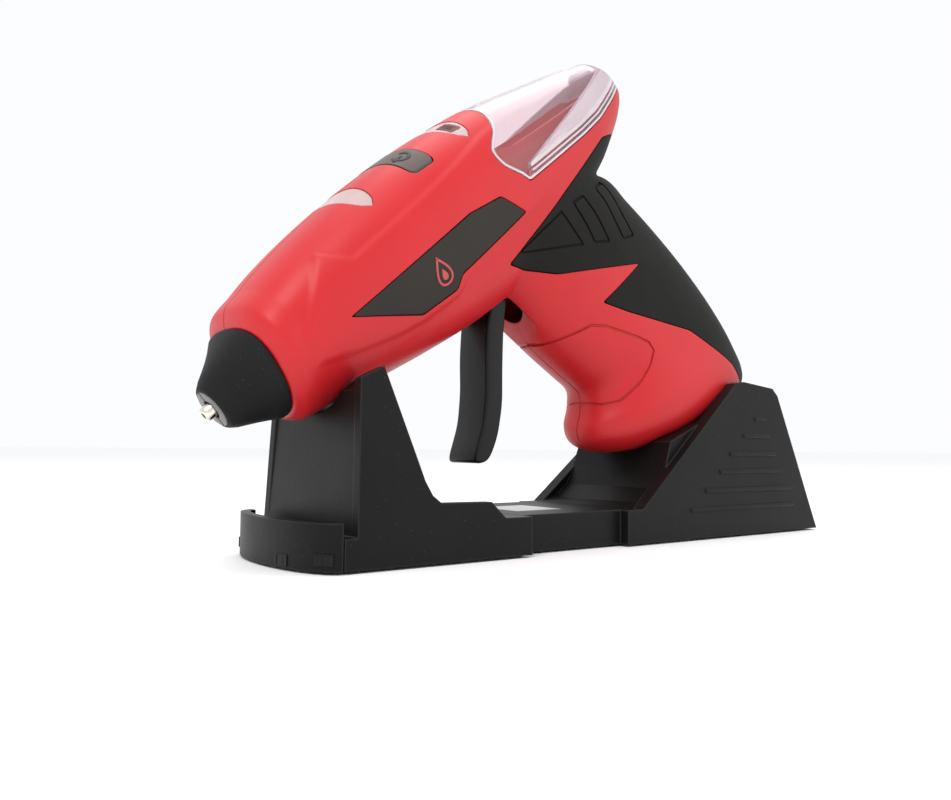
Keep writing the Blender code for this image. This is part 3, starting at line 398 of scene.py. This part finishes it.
# ----------------------------------------------------------------------------- materials
def plastic(name, base, rough, grain=1500.0, bump=0.05, vary=0.12, speck=None, metallic=0.0, coat=0.0,
            scratch=0.0, edge=0.0, corner=0.35, specular=0.5):
    """A moulded finish: fine grain, slow changes of tone, optional specks, scuffs, and a painted highlight that
    lightens the edges.
    """
    made = bpy.data.materials.new(name)
    made.use_nodes = True
    tree = made.node_tree
    nodes, links = tree.nodes, tree.links
    shader = nodes["Principled BSDF"]
    shader.inputs["Metallic"].default_value = metallic
    shader.inputs["Coat Weight"].default_value = coat
    shader.inputs["Coat Roughness"].default_value = 0.25
    shader.inputs["Specular IOR Level"].default_value = specular
    place = nodes.new("ShaderNodeTexCoord").outputs["Object"]

    def noise(scale, detail=3.0):
        node = nodes.new("ShaderNodeTexNoise")
        node.inputs["Scale"].default_value = scale
        node.inputs["Detail"].default_value = detail
        links.new(place, node.inputs["Vector"])
        return node.outputs["Fac"]

    def ramp(value, low, high, start=(0, 0, 0), end=(1, 1, 1)):
        node = nodes.new("ShaderNodeValToRGB")
        node.color_ramp.elements[0].position = low
        node.color_ramp.elements[1].position = high
        node.color_ramp.elements[0].color = (*start, 1)
        node.color_ramp.elements[1].color = (*end, 1)
        links.new(value, node.inputs["Fac"])
        return node.outputs["Color"]

    def mix(factor, first, second):
        node = nodes.new("ShaderNodeMix")
        node.data_type = "RGBA"
        links.new(factor, node.inputs["Factor"])
        for value, socket in ((first, node.inputs[6]), (second, node.inputs[7])):
            if isinstance(value, tuple):
                socket.default_value = (*value, 1)
            else:
                links.new(value, socket)
        return node.outputs[2]

    dark = tuple(c * (1 - vary) for c in base)
    light = tuple(min(1.0, c * (1 + vary)) for c in base)
    colour = ramp(noise(38.0, 5.0), 0.3, 0.7, dark, light)
    if speck:
        dots = nodes.new("ShaderNodeTexVoronoi")
        dots.inputs["Scale"].default_value = speck[1]
        links.new(place, dots.inputs["Vector"])
        mask = ramp(dots.outputs["Distance"], 0.05, 0.14, (1, 1, 1), (0, 0, 0))
        some = ramp(noise(speck[1] * 0.35, 1.0), 0.54, 0.6)
        both = nodes.new("ShaderNodeMath")
        both.operation = "MULTIPLY"
        links.new(mask, both.inputs[0])
        links.new(some, both.inputs[1])
        colour = mix(both.outputs[0], colour, speck[0])
    corners = nodes.new("ShaderNodeBevel")
    corners.samples = 6
    corners.inputs["Radius"].default_value = corner * MM
    # Painted highlight: where the rounded-corner normal turns away from the face, the colour is mixed towards a
    # lighter tone, standing in for reflections along the edges.
    if edge:
        geometry = nodes.new("ShaderNodeNewGeometry")
        match = nodes.new("ShaderNodeVectorMath")
        match.operation = "DOT_PRODUCT"
        links.new(corners.outputs["Normal"], match.inputs[0])
        links.new(geometry.outputs["Normal"], match.inputs[1])
        colour = mix(ramp(match.outputs["Value"], 0.90, 0.99, (edge, edge, edge), (0, 0, 0)),
                     colour, tuple(min(1.0, c * 2.0 + 0.03) for c in base))
    links.new(colour, shader.inputs["Base Color"])
    spread = nodes.new("ShaderNodeMapRange")
    links.new(noise(90.0, 6.0), spread.inputs["Value"])
    spread.inputs["To Min"].default_value = max(0.02, rough - 0.07)
    spread.inputs["To Max"].default_value = min(1.0, rough + 0.07)
    links.new(spread.outputs["Result"], shader.inputs["Roughness"])
    height = noise(grain, 2.0)
    if scratch:
        lines = nodes.new("ShaderNodeTexWave")
        lines.inputs["Scale"].default_value = 160.0
        lines.inputs["Distortion"].default_value = 9.0
        lines.inputs["Detail"].default_value = 3.0
        links.new(place, lines.inputs["Vector"])
        total = nodes.new("ShaderNodeMath")
        total.operation = "MULTIPLY_ADD"
        links.new(lines.outputs["Fac"], total.inputs[0])
        total.inputs[1].default_value = scratch
        links.new(height, total.inputs[2])
        height = total.outputs[0]
    relief = nodes.new("ShaderNodeBump")
    relief.inputs["Strength"].default_value = bump
    relief.inputs["Distance"].default_value = 0.0003
    links.new(height, relief.inputs["Height"])
    links.new(corners.outputs["Normal"], relief.inputs["Normal"])
    links.new(relief.outputs["Normal"], shader.inputs["Normal"])
    return made


def clear(name, tint, rough, weight):
    """A clear moulding: mostly see-through, a little milky, with a fine flow texture."""
    made = plastic(name, tint, rough, 700.0, 0.03, 0.04)
    shader = made.node_tree.nodes["Principled BSDF"]
    shader.inputs["Transmission Weight"].default_value = weight
    shader.inputs["IOR"].default_value = 1.18
    shader.inputs["Coat Weight"].default_value = 0.4
    return made


RED = plastic("red_moulding", (0.52, 0.013, 0.017), 0.42, 1400.0, 0.05, 0.05, coat=0.06, specular=0.3)
SOFT_BLACK = plastic("soft_touch", (0.010, 0.0095, 0.008), 0.62, 2600.0, 0.35, 0.18,
                     speck=((0.07, 0.07, 0.065), 1500.0), specular=0.12)
GUARD_BLACK = plastic("guard_rubber", (0.009, 0.009, 0.0085), 0.6, 2200.0, 0.30, 0.2,
                      speck=((0.08, 0.08, 0.08), 1300.0), specular=0.14)
INLAY = plastic("inlay_finish", (0.030, 0.026, 0.022), 0.5, 3200.0, 0.25, 0.12, specular=0.12)
MARK = plastic("inlay_mark_ink", (0.42, 0.055, 0.05), 0.45, 1500.0, 0.08, 0.12)
BUTTON = plastic("button_finish", (0.085, 0.062, 0.052), 0.45, 1800.0, 0.1, 0.08, specular=0.3)
SYMBOL = plastic("symbol_ink", (0.008, 0.007, 0.007), 0.5, 1500.0, 0.05, 0.1)
MAROON = plastic("icon_ink", (0.16, 0.03, 0.035), 0.5, 1500.0, 0.05, 0.1)
# The stand's finish paints its edges lighter (edge=0.6): a painted highlight.
STAND_BLACK = plastic("stand_moulding", (0.0062, 0.006, 0.0056), 0.42, 1700.0, 0.14, 0.2,
                      speck=((0.06, 0.06, 0.055), 1100.0), edge=0.6, corner=0.6, specular=0.14)
TRIGGER_BLACK = plastic("trigger_moulding", (0.0055, 0.0052, 0.005), 0.34, 1500.0, 0.1, 0.15,
                        speck=((0.05, 0.05, 0.05), 1100.0), specular=0.22)
PANE = clear("pane", (0.80, 0.58, 0.57), 0.28, 0.45)
COVER = clear("cover_moulding", (0.98, 0.85, 0.88), 0.05, 0.97)
LILAC = clear("cover_end_moulding", (0.80, 0.76, 0.92), 0.25, 0.4)
RIM = clear("cover_rim_moulding", (0.95, 0.86, 0.90), 0.18, 0.45)
NICKEL = plastic("bright_nickel", (0.74, 0.70, 0.62), 0.2, 2400.0, 0.06, 0.08, metallic=1.0, scratch=0.6)
DISC = plastic("nose_disc_finish", (0.16, 0.16, 0.155), 0.45, 2000.0, 0.2, 0.15)
STEEL = plastic("zinc_steel", (0.52, 0.52, 0.54), 0.32, 1600.0, 0.1, 0.1, metallic=1.0, scratch=0.8)
ALLOY = plastic("cast_alloy", (0.60, 0.60, 0.62), 0.4, 900.0, 0.25, 0.1, metallic=1.0)
WHITE = plastic("heat_plastic", (0.72, 0.71, 0.68), 0.5, 1500.0, 0.1, 0.05)
SILICONE = plastic("silicone_rubber", (0.75, 0.74, 0.70), 0.6, 1800.0, 0.12, 0.05)
BOARD = plastic("solder_mask", (0.02, 0.12, 0.05), 0.38, 600.0, 0.2, 0.25, coat=0.3)
WRAP = plastic("cell_sleeve", (0.03, 0.12, 0.32), 0.32, 700.0, 0.1, 0.08, coat=0.2)
FOIL = plastic("label_foil", (0.60, 0.60, 0.60), 0.32, 1200.0, 0.08, 0.1, metallic=0.7, scratch=1.0)

LOOKS = {"red_plastic": RED, "soft_black": SOFT_BLACK, "inlay_grey": INLAY, "clear_plastic": PANE,
         "button_grey": BUTTON, "nickel": NICKEL, "aluminium": ALLOY, "white_plastic": WHITE,
         "spring_steel": STEEL, "silicone": SILICONE, "black_plastic": STAND_BLACK, "board_green": BOARD,
         "cell_wrap": WRAP, "label_silver": FOIL}


# ------------------------------------------------------------------------- shared finish
def smooth_by_angle(limit):
    """A node group that shades smooth, with sharp edges above an angle in degrees."""
    group = bpy.data.node_groups.new(f"smooth_by_angle_{limit}", "GeometryNodeTree")
    group.interface.new_socket("Geometry", in_out="INPUT", socket_type="NodeSocketGeometry")
    group.interface.new_socket("Geometry", in_out="OUTPUT", socket_type="NodeSocketGeometry")
    start = group.nodes.new("NodeGroupInput")
    end = group.nodes.new("NodeGroupOutput")
    faces = group.nodes.new("GeometryNodeSetShadeSmooth")
    edges = group.nodes.new("GeometryNodeSetShadeSmooth")
    edges.domain = "EDGE"
    edges.inputs["Shade Smooth"].default_value = False
    angle = group.nodes.new("GeometryNodeInputMeshEdgeAngle")
    over = group.nodes.new("FunctionNodeCompare")
    over.operation = "GREATER_THAN"
    over.inputs[1].default_value = math.radians(limit)
    group.links.new(angle.outputs["Unsigned Angle"], over.inputs[0])
    group.links.new(start.outputs[0], faces.inputs["Geometry"])
    group.links.new(faces.outputs["Geometry"], edges.inputs["Geometry"])
    group.links.new(over.outputs["Result"], edges.inputs["Selection"])
    group.links.new(edges.outputs["Geometry"], end.inputs[0])
    return group


SMOOTH = smooth_by_angle(34)
CRISP = smooth_by_angle(15)


def dress(node, look):
    """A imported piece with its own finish, shaded smooth between its edges."""
    made = frame["nodes"][node]
    made.data.materials.clear()
    made.data.materials.append(look)
    normals = made.data.attributes.get("custom_normal")
    if normals:
        made.data.attributes.remove(normals)
    weld = made.modifiers.new("weld", "WELD")
    weld.merge_threshold = 0.000005
    made.modifiers.new("smooth", "NODES").node_group = CRISP if node in ("front_rest", "cradle") else SMOOTH


low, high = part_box("trigger_pin")
PIN = (low + high) / 2
TURN = Matrix.Rotation(math.radians(-PITCH), 4, "Y")
OFFSET = PIN - (TURN @ Vector((TRIGGER_PIVOT[0], 0, TRIGGER_PIVOT[1]))) * MM
GUN = Matrix.Translation(OFFSET) @ TURN @ Matrix.Scale(MM, 4)


def place(made, body, look, slot, *replaced, frame_matrix=GUN):
    """Put a finished piece where it belongs, with its finish, its body and what it stands for."""
    made.data.transform(frame_matrix)
    made.data.materials.clear()
    made.data.materials.append(look)
    made.data.shade_smooth()
    made.data.set_sharp_from_angle(angle=math.radians(34))
    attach(made, body)
    if replaced:
        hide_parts(*replaced)
    return made


# --------------------------------------------------------------------- the gun's outside
OUTER = smooth_body()
UNDER = body_solid("under_skin", SKIN)
FLOOR = body_solid("recess_floor", SKIN + GAP)
INNER = body_solid("inner", WALL)
PROUD = swollen(OUTER, "proud", 0.14)
SUNK = swollen(OUTER, "sunk", -0.45)
WIDE = BARREL_HALF_WIDTH + 5


def eye(middle, half_width, half_span):
    """A window's outline across the top, pointed towards its two ends."""
    made = []
    for sign in (1, -1):
        for k in range(24):
            t = -1 + 2 * k / 24
            made.append((middle + sign * half_span * (1 - abs(t) ** 4) ** 0.55, sign * t * half_width))
    return made


FRONT_EYE = eye(53.0, 14.2, 3.1)
REAR_EYE = eye(87.2, 13.6, 3.1)
BUTTON_SHAPE = rounded([(66.9, -14.2), (74.3, -14.2), (74.3, 14.2), (66.9, 14.2)], 1.5)


def contact_rod(name, side, start, end, radius):
    lean = math.radians(CONTACT_LEAN)
    out = Vector((-math.sin(lean), 0, -math.cos(lean)))
    foot = Vector((CONTACT_PLACE[0], side * CONTACT_HALF_SPREAD, CONTACT_PLACE[1]))
    return rod(name, foot + out * start, foot + out * end, radius)


def guard_ring(along, inset, blend=0.0, nose_radius=6.0):
    ring = []
    for _, y, z in barrel_ring(BARREL_SECTIONS[0], inset):
        angle = math.atan2(z, y)
        place_on = along + RIM_LEAN * z * (1 - blend)
        ring.append((place_on, y + (nose_radius * math.cos(angle) - y) * blend,
                     z + (nose_radius * math.sin(angle) - z) * blend))
    return ring


HALF_OUTLINE = [(-30, -130), (190, -130), (190, 60), (-30, 60)]


def part_line():
    """The shallow groove along the middle, where the two halves meet."""
    return cut(prism("part_line", HALF_OUTLINE, -GAP / 2, GAP / 2), SUNK)


def housing():
    cavity = cut(copy_of(INNER, "cavity"), prism("bulkhead", BULKHEAD_OUTLINE, -30, 30))
    shell = cut(copy_of(OUTER, "shell"), cavity)
    posts = [rod("boss", (x, -WIDE, z), (x, WIDE, z), BOSS_R) for x, z in HOUSING_SCREWS]
    x, z = TRIGGER_PIVOT
    for side in (-1, 1):
        posts.append(rod("pivot_boss", (x, side * (TRIGGER_HALF_WIDTH + GAP), z), (x, side * WIDE, z),
                         TRIGGER_PIN_R + 1.8))
    join(shell, *[keep(post, UNDER) for post in posts])
    slot = [(x, z)] + [(x + 34 * math.cos(math.radians(a)), z + 34 * math.sin(math.radians(a)))
                       for a in range(207, 272, 8)] + [(x + 2.6, z - 7.0), (x + 2.6, z)]
    half = TRIGGER_HALF_WIDTH + 1
    inset = GUARD_LIP - GAP
    tools = [prism("cover_opening", rounded(COVER_OUTLINE, 0.9), -WIDE, WIDE),
             prism("trough", TROUGH_OUTLINE, -8.6, 8.6),
             rod("stick_way", (86, 0, 0), (165, 0, 0), STICK_R + 0.7),
             prism("trigger_slot", slot, -half, half),
             loft("mouth", [guard_ring(BARREL_START - 3.0, inset), guard_ring(BARREL_START + 9.0, inset)]),
             rod("pin_hole", (x, -half - 3.9, z), (x, half + 3.9, z), TRIGGER_PIN_R + GAP),
             prism("button_hole", offset_outline(BUTTON_SHAPE, GAP), 12.2, 30, "Z"),
             prism("front_hole", offset_outline(FRONT_EYE, 0.15), 13.2, 30, "Z"),
             prism("rear_hole", offset_outline(REAR_EYE, 0.15), 13.2, 30, "Z"),
             cut(prism("grip_recess", rounded(offset_outline(GRIP_OUTLINE, GAP), 1.2), -30, 30), FLOOR),
             cut(prism("inlay_recess", rounded(offset_outline(INLAY_OUTLINE, GAP), 0.8), -30, 30), FLOOR),
             cut(prism("handle_groove", ribbon(HANDLE_GROOVE, 0.7), -30, 30), SUNK),
             cut(prism("seam", [(10, 3), (87, 3), (87, 30), (10, 30)], -0.16, 0.16), SUNK),
             part_line()]
    for side in (-1, 1):
        tools.append(contact_rod("contact_hole", side, -8, 6, CONTACT_R + GAP))
    for i, (x, z) in enumerate(HOUSING_SCREWS):
        tools.append(rod("head_hole", (x, 6.0, z), (x, 30.0, z), SCREW_HEAD_R + GAP))
        tools.append(rod("screw_hole", (x, -8.0, z), (x, 9.0, z), SCREW_R + GAP))
    cut(shell, *tools)
    for name, side in (("left", -1), ("right", 1)):
        ends = sorted((side * SPLIT, side * 60))
        space = prism("half_space", HALF_OUTLINE, *ends)
        place(keep(copy_of(shell, "shell_" + name), space), "gun", RED, "red_plastic", "housing_" + name)


def grips():
    shape = rounded(GRIP_OUTLINE, 1.4)
    marks = []
    for outline in (GRIP_TRIANGLE, *GRIP_BARS):
        marks.append((rounded(outline, 0.7), rounded(offset_outline(outline, -0.7), 0.5)))
    for name, side in (("left", -1), ("right", 1)):
        ends = sorted((side * SPLIT, side * 60))
        space = prism("half_space", HALF_OUTLINE, *ends)
        grip = cut(keep(prism("pad_" + name, shape, -30, 30), OUTER, space), UNDER)
        for outer_line, inner_line in marks:
            groove = cut(prism("groove", outer_line, -30, 30), prism("core", inner_line, -31, 31), SUNK)
            cut(grip, groove)
        cut(grip, part_line())
        for line in ([(77.6, -29.6), (79.0, -33.2)], [(78.9, -33.2), (79.8, -36.8)]):
            cut(grip, cut(prism("notch", ribbon(line, 0.6), -30, 30), SUNK))
        if side > 0:
            for x, z in HOUSING_SCREWS:
                cut(grip, rod("head_hole", (x, 6.0, z), (x, 30.0, z), SCREW_HEAD_R + GAP))
        place(grip, "gun", SOFT_BLACK, "soft_black", "grip_" + name)


def inlays():
    drop, bead = [], []
    for k in range(48):
        turn = 2 * math.pi * (k + 0.5) / 48
        swell = abs(math.sin(turn / 2)) ** 1.4
        drop.append((56.8 + 3.3 * math.sin(turn) * swell, -4.6 + 3.6 * math.cos(turn)))
        bead.append((56.8 + 1.2 * math.sin(turn) * swell, -5.5 + 1.4 * math.cos(turn)))
    for name, side in (("left", -1), ("right", 1)):
        ends = sorted((side * 8, side * 30))
        panel = cut(keep(prism("panel_" + name, rounded(INLAY_OUTLINE, 0.9), *ends), OUTER), UNDER)
        place(panel, "gun", INLAY, "inlay_grey", "inlay_" + name)
        ring = cut(prism("drop_" + name, drop, *ends), prism("drop_core", offset_outline(drop, -0.55), -40, 40))
        join(ring, prism("bead", bead, *ends))
        place(cut(keep(ring, PROUD), SUNK), "gun", MARK, "inlay_grey")


def cover():
    shape = rounded(offset_outline(COVER_OUTLINE, -GAP), 0.9)
    pane = cut(keep(prism("clear_cover", shape, -30, 30), OUTER), body_solid("cover_inside", 1.6),
               rod("entry_hole", (140, 0, 0), (165, 0, 0), STICK_R + 0.7))
    place(pane, "gun", COVER, "clear_plastic", "stick_cover")
    whole = [(80, -10), (152, -10), (152, 8.5), (104, 20), (80, 20)]
    lower = [(93.0, -10), (152, -10), (152, 8.5), (97.0, 1.6)]
    for i, (out, deep, span) in enumerate(((0.0, 0.6, whole), (1.3, 0.5, lower), (2.4, 0.9, lower))):
        outline = rounded(offset_outline(COVER_OUTLINE, -GAP - out), 0.9)
        line = cut(prism(f"cover_rim_{i + 1}", outline, -30, 30),
                   prism("rim_core", offset_outline(outline, -deep), -31, 31))
        keep(line, swollen(OUTER, "rim_skin", 0.1), prism("rim_span", span, -30, 30))
        place(cut(line, body_solid("rim_inside", 1.7)), "gun", RIM, "clear_plastic")
    disc = rod("cover_end", (146.0, 0, 6.4), (146.6, 0, 6.53), 4.9)
    place(disc, "gun", LILAC, "clear_plastic")


def channel():
    """The stick's open channel under the clear cover, with its end wall."""
    line = [(90.5, -3.0), (147.0, -3.0), (147.0, 1.8), (143.0, 4.6), (120.0, 5.2), (101.0, 6.2), (95.0, 9.0),
            (90.5, 9.6)]
    made = cut(prism("stick_channel", rounded(line, 1.5), -9.4, 9.4),
               prism("channel_room", [(93.0, -1.0), (144.6, -1.0), (144.6, 20), (93.0, 20)], -7.9, 7.9),
               rod("channel_way", (80, 0, 0), (165, 0, 0), STICK_R + 0.7))
    keep(made, body_solid("channel_space", 1.9))
    place(made, "gun", RED, "red_plastic")


def windows():
    for name, outline, node in (("front_pane", FRONT_EYE, "front_window"), ("rear_pane", REAR_EYE, "rear_window")):
        pane = keep(prism(name, outline, 13.4, 30, "Z"), swollen(OUTER, "pane_skin", -0.12))
        place(cut(pane, INNER), "gun", PANE, "clear_plastic", node)
    cell = rounded([(85.4, -11.0), (88.8, -11.0), (88.8, -6.2), (85.4, -6.2)], 0.4)
    icon = cut(prism("battery_icon", cell, 13, 30, "Z"), prism("icon_core", offset_outline(cell, -0.5), 12, 31, "Z"))
    place(cut(keep(icon, swollen(OUTER, "icon_skin", 0.02)), SUNK), "gun", MAROON, "clear_plastic")

    cap = keep(prism("button_cap", BUTTON_SHAPE, 13.4, 30, "Z"), swollen(OUTER, "cap_skin", 0.1))
    cut(cap, INNER)
    join(cap, prism("stem", [(69.1, -2), (72.1, -2), (72.1, 2), (69.1, 2)], 14.5, 20.4, "Z"))
    place(cap, "button", BUTTON, "button_grey", "power_button")
    arc = [(70.6 + 1.9 * math.cos(math.radians(a)), -8.6 + 1.9 * math.sin(math.radians(a)))
           for a in range(125, 416, 10)]
    symbol = prism("power_symbol", ribbon(arc, 0.8), 13, 30, "Z")
    join(symbol, prism("symbol_bar", [(67.9, -9.0), (70.7, -9.0), (70.7, -8.2), (67.9, -8.2)], 13, 30, "Z"))
    place(cut(keep(symbol, swollen(OUTER, "symbol_skin", 0.24)), swollen(OUTER, "symbol_under", -0.1)),
          "button", SYMBOL, "button_grey")


def nozzle():
    mouth = BARREL_START - GAP
    rows = [(1.2, GAP, 1.0, 4.7), (1.35, GAP, 1.0, 5.1), (1.7, GAP, 1.0, 5.45), (3.0, GAP, 0.92, 5.95),
            (5.2, GAP, 0.72, 6.0), (7.5, GAP, 0.5, 6.0), (9.8, GAP, 0.26, 6.0), (mouth - 0.8, GAP, 0.02, 6.0),
            (mouth, GAP, 0.0, 6.0), (mouth + 0.01, GUARD_LIP, 0.0, 6.0), (mouth + 7.0, GUARD_LIP, 0.0, 6.0)]
    guard = loft("front_guard", [guard_ring(*row) for row in rows])
    cut(guard, rod("nose_hole", (0, 0, 0), (6, 0, 0), 2.1), rod("hex_room", (3.6, 0, 0), (9, 0, 0), 3.3),
        rod("guard_room", (6.7, 0, 0), (24, 0, 0), CHAMBER_R + 0.8))
    place(guard, "gun", GUARD_BLACK, "soft_black", "nozzle_guard")
    disc = turned("nose_disc", [(0.95, 2.3), (0.95, 4.2), (1.05, 4.4), (1.3, 4.4), (1.3, 2.3)])
    cut(disc, prism("slot", [(0.5, -5.2), (1.12, -5.2), (1.12, 5.2), (0.5, 5.2)], -0.45, 0.45))
    place(disc, "gun", DISC, "soft_black")
    tip = -1.2
    spout = turned("spout", [(tip, 1.25), (tip + 0.15, 1.45), (tip + 0.8, 1.7), (3.9, 1.7), (4.2, 2.9), (6.8, 2.9),
                             (6.8, 2.0), (11.3, 2.0), (11.3, 1.1), (1.0, 1.1), (tip + 0.8, 0.75), (tip, 0.75)], 14)
    place(spout, "gun", NICKEL, "nickel", "nozzle_tip")


housing()
grips()
inlays()
cover()
channel()
windows()
nozzle()


def trigger():
    outline = rounded([(75.6, -20.6), (69.3, -25.1), (63.0, -31.8), (57.6, -38.6), (51.6, -44.6), (43.3, -49.8),
                       (44.2, -51.6), (47.3, -52.9), (53.2, -50.0), (59.6, -44.6), (65.6, -37.4), (72.3, -29.8),
                       (80.6, -22.4)], 3.0, 6)
    half = TRIGGER_HALF_WIDTH
    blade = prism("lever", outline, -half, half)
    edge = blade.modifiers.new("edge", "BEVEL")
    edge.width = 1.5
    edge.segments = 5
    edge.limit_method = "ANGLE"
    edge.angle_limit = math.radians(50)
    freeze(blade)
    x, z = TRIGGER_PIVOT
    peg = (x + 2.5, z + 11.5)
    join(blade, rod("hub", (x, -half, z), (x, half, z), 4.0),
         prism("crank", [(x - 2.4, z), (peg[0] - 1.5, peg[1]), (peg[0], peg[1] + 1.4), (peg[0] + 1.5, peg[1]),
                         (x + 2.6, z)], -2.5, 2.5),
         rod("peg", (peg[0], -half, peg[1]), (peg[0], half, peg[1]), 1.3))
    cut(blade, rod("bore", (x, -20, z), (x, 20, z), 1.55))
    place(blade, "trigger_lever", TRIGGER_BLACK, "black_plastic", "trigger")


# ------------------------------------------------------------------------------ the stand
WORLD = Matrix.Scale(MM, 4)
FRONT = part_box("front_rest")[0].x / MM
RIBS = [(8.5, 108.8, 156.4), (13.7, 115.6, 156.4), (19.0, 122.4, 151.3), (24.1, 127.5, 148.8),
        (29.5, 134.3, 146.2), (34.6, 140.3, 144.5)]


def cradle_ribs():
    for name, side in (("left", -1), ("right", 1)):
        bm = bmesh.new()
        for level, start, end in RIBS:
            rings = []
            for reach, half in ((-0.4, 0.75), (0.12, 0.7), (0.34, 0.45), (0.4, 0.0)):
                ring = []
                for k in range(24):
                    turn = 2 * math.pi * k / 24
                    x = (start if math.cos(turn) < 0 else end) + half * math.cos(turn)
                    height = level + half * math.sin(turn)
                    wall = 22.0 - max(0.0, height - 9.5) * 0.055
                    ring.append(bm.verts.new((FRONT + x, side * (wall + reach), height)))
                rings.append(ring)
            for near, far in zip(rings, rings[1:]):
                for i in range(24):
                    j = (i + 1) % 24
                    bm.faces.new((near[i], near[j], far[j], far[i]))
            bm.faces.new(rings[0])
        place(work("cradle_ribs_" + name, bm), "stand", STAND_BLACK, "black_plastic", frame_matrix=WORLD)


def tray_latches():
    """Small windows in the tray's skirt: a thin frame round a dark pane."""
    for i, (x, level) in enumerate(((-3.5, 3.0), (-7.45, 2.2), (-3.5, 3.0))):
        side = -1 if i < 2 else 1
        reach, wide = 8.2, 23.5
        turn = math.acos(-x / reach)
        middle = Vector((FRONT + x, side * wide * math.sin(turn), level))
        along = Vector((reach * math.sin(turn), side * wide * math.cos(turn), 0)).normalized()
        out = Vector((-along.y, along.x, 0))
        if out.dot(Vector((x, middle.y / 3, 0))) < 0:
            out = -out
        bm = bmesh.new()
        rings = []
        for grow, deep in ((1.0, -0.3), (1.0, 0.16), (0.8, 0.16), (0.74, -0.02)):
            ring = []
            for sx, sz in ((-1, -1), (1, -1), (1, 1), (-1, 1)):
                spot = middle + along * sx * (2.1 * grow) + out * deep + Vector((0, 0, sz * (1.15 * grow)))
                ring.append(bm.verts.new(spot))
            rings.append(ring)
        for near, far in zip(rings, rings[1:]):
            for a in range(4):
                b = (a + 1) % 4
                bm.faces.new((near[a], near[b], far[b], far[a]))
        bm.faces.new(rings[0])
        bm.faces.new(rings[-1])
        place(work(f"tray_latch_{i + 1}", bm), "tray", TRIGGER_BLACK, "black_plastic", frame_matrix=WORLD)


def spring():
    """The return spring round the stick, at one fixed length; the real spring shortens as the carriage comes
    forwards.
    """
    wire, around, turns, per_turn = 0.45, STICK_R + 1.6, 4, 32
    low, high = SPRING_SPAN
    rings = []
    for i in range(turns * per_turn + 1):
        turn = 2 * math.pi * i / per_turn
        x = low + wire + (high - low - 2 * wire) * i / (turns * per_turn)
        ring = []
        for k in range(12):
            angle = 2 * math.pi * k / 12
            out = around + wire * math.cos(angle)
            ring.append((x + wire * math.sin(angle), out * math.cos(turn), out * math.sin(turn)))
        rings.append(ring)
    coil = place(loft("spring_coil", rings), "gun", STEEL, "spring_steel", "return_spring")
    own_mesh(coil)


trigger()
spring()
cradle_ribs()
tray_latches()

for entry in frame["record"]["subparts"]:
    if not frame["nodes"][entry["node"]].hide_render:
        dress(entry["node"], LOOKS[entry["material_slot"]])
for made in [o for o in bpy.data.objects if o.type == "MESH" and "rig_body" not in o]:
    bpy.data.objects.remove(made, do_unlink=True)


# ------------------------------------------------------------------- floor, light, camera
bm = bmesh.new()
bmesh.ops.create_circle(bm, cap_ends=True, segments=96, radius=6.0)
floor = work("floor", bm)
floor.data.materials.append(plastic("floor_finish", (0.96, 0.96, 0.96), 0.9, 300.0, 0.02, 0.01, specular=0.05))

world = bpy.context.scene.world or bpy.data.worlds.new("studio")
bpy.context.scene.world = world
world.use_nodes = True
world.node_tree.nodes["Background"].inputs["Color"].default_value = (0.97, 0.98, 1.0, 1)
world.node_tree.nodes["Background"].inputs["Strength"].default_value = 1.0
bpy.context.scene.view_settings.view_transform = "Standard"


def softbox(name, spot, aim, size, power):
    light = bpy.data.lights.new(name, "AREA")
    light.shape = "DISK"
    light.size = size
    light.energy = power
    made = bpy.data.objects.new(name, light)
    made.location = spot
    made.rotation_euler = (Vector(aim) - Vector(spot)).to_track_quat("-Z", "Y").to_euler()
    bpy.context.scene.collection.objects.link(made)


softbox("key", (-0.45, -0.30, 0.62), (0, 0, 0.07), 0.45, 2.6)
softbox("fill", (0.45, -0.55, 0.30), (0, 0, 0.06), 0.55, 0.6)
softbox("top", (0.10, 0.15, 0.80), (0, 0, 0.07), 0.60, 1.6)

yaw, pitch, roll = (math.radians(a) for a in (36.9716, 3.0740, 0.3645))
ahead = Vector((math.sin(yaw) * math.cos(pitch), math.cos(yaw) * math.cos(pitch), math.sin(pitch)))
right = Vector((math.cos(yaw), -math.sin(yaw), 0))
up = right.cross(ahead)
across = right * math.cos(roll) + up * math.sin(roll)
upward = up * math.cos(roll) - right * math.sin(roll)
turn = Matrix((across, upward, -ahead)).transposed().to_4x4()
lens = bpy.data.cameras.new("camera")
lens.lens = 32.4907
lens.sensor_width = 36.0
lens.clip_start = 0.01
camera = bpy.data.objects.new("camera", lens)
camera.matrix_world = Matrix.Translation((-0.1569673, -0.17674437, 0.02589186)) @ turn
bpy.context.scene.collection.objects.link(camera)
bpy.context.scene.camera = camera
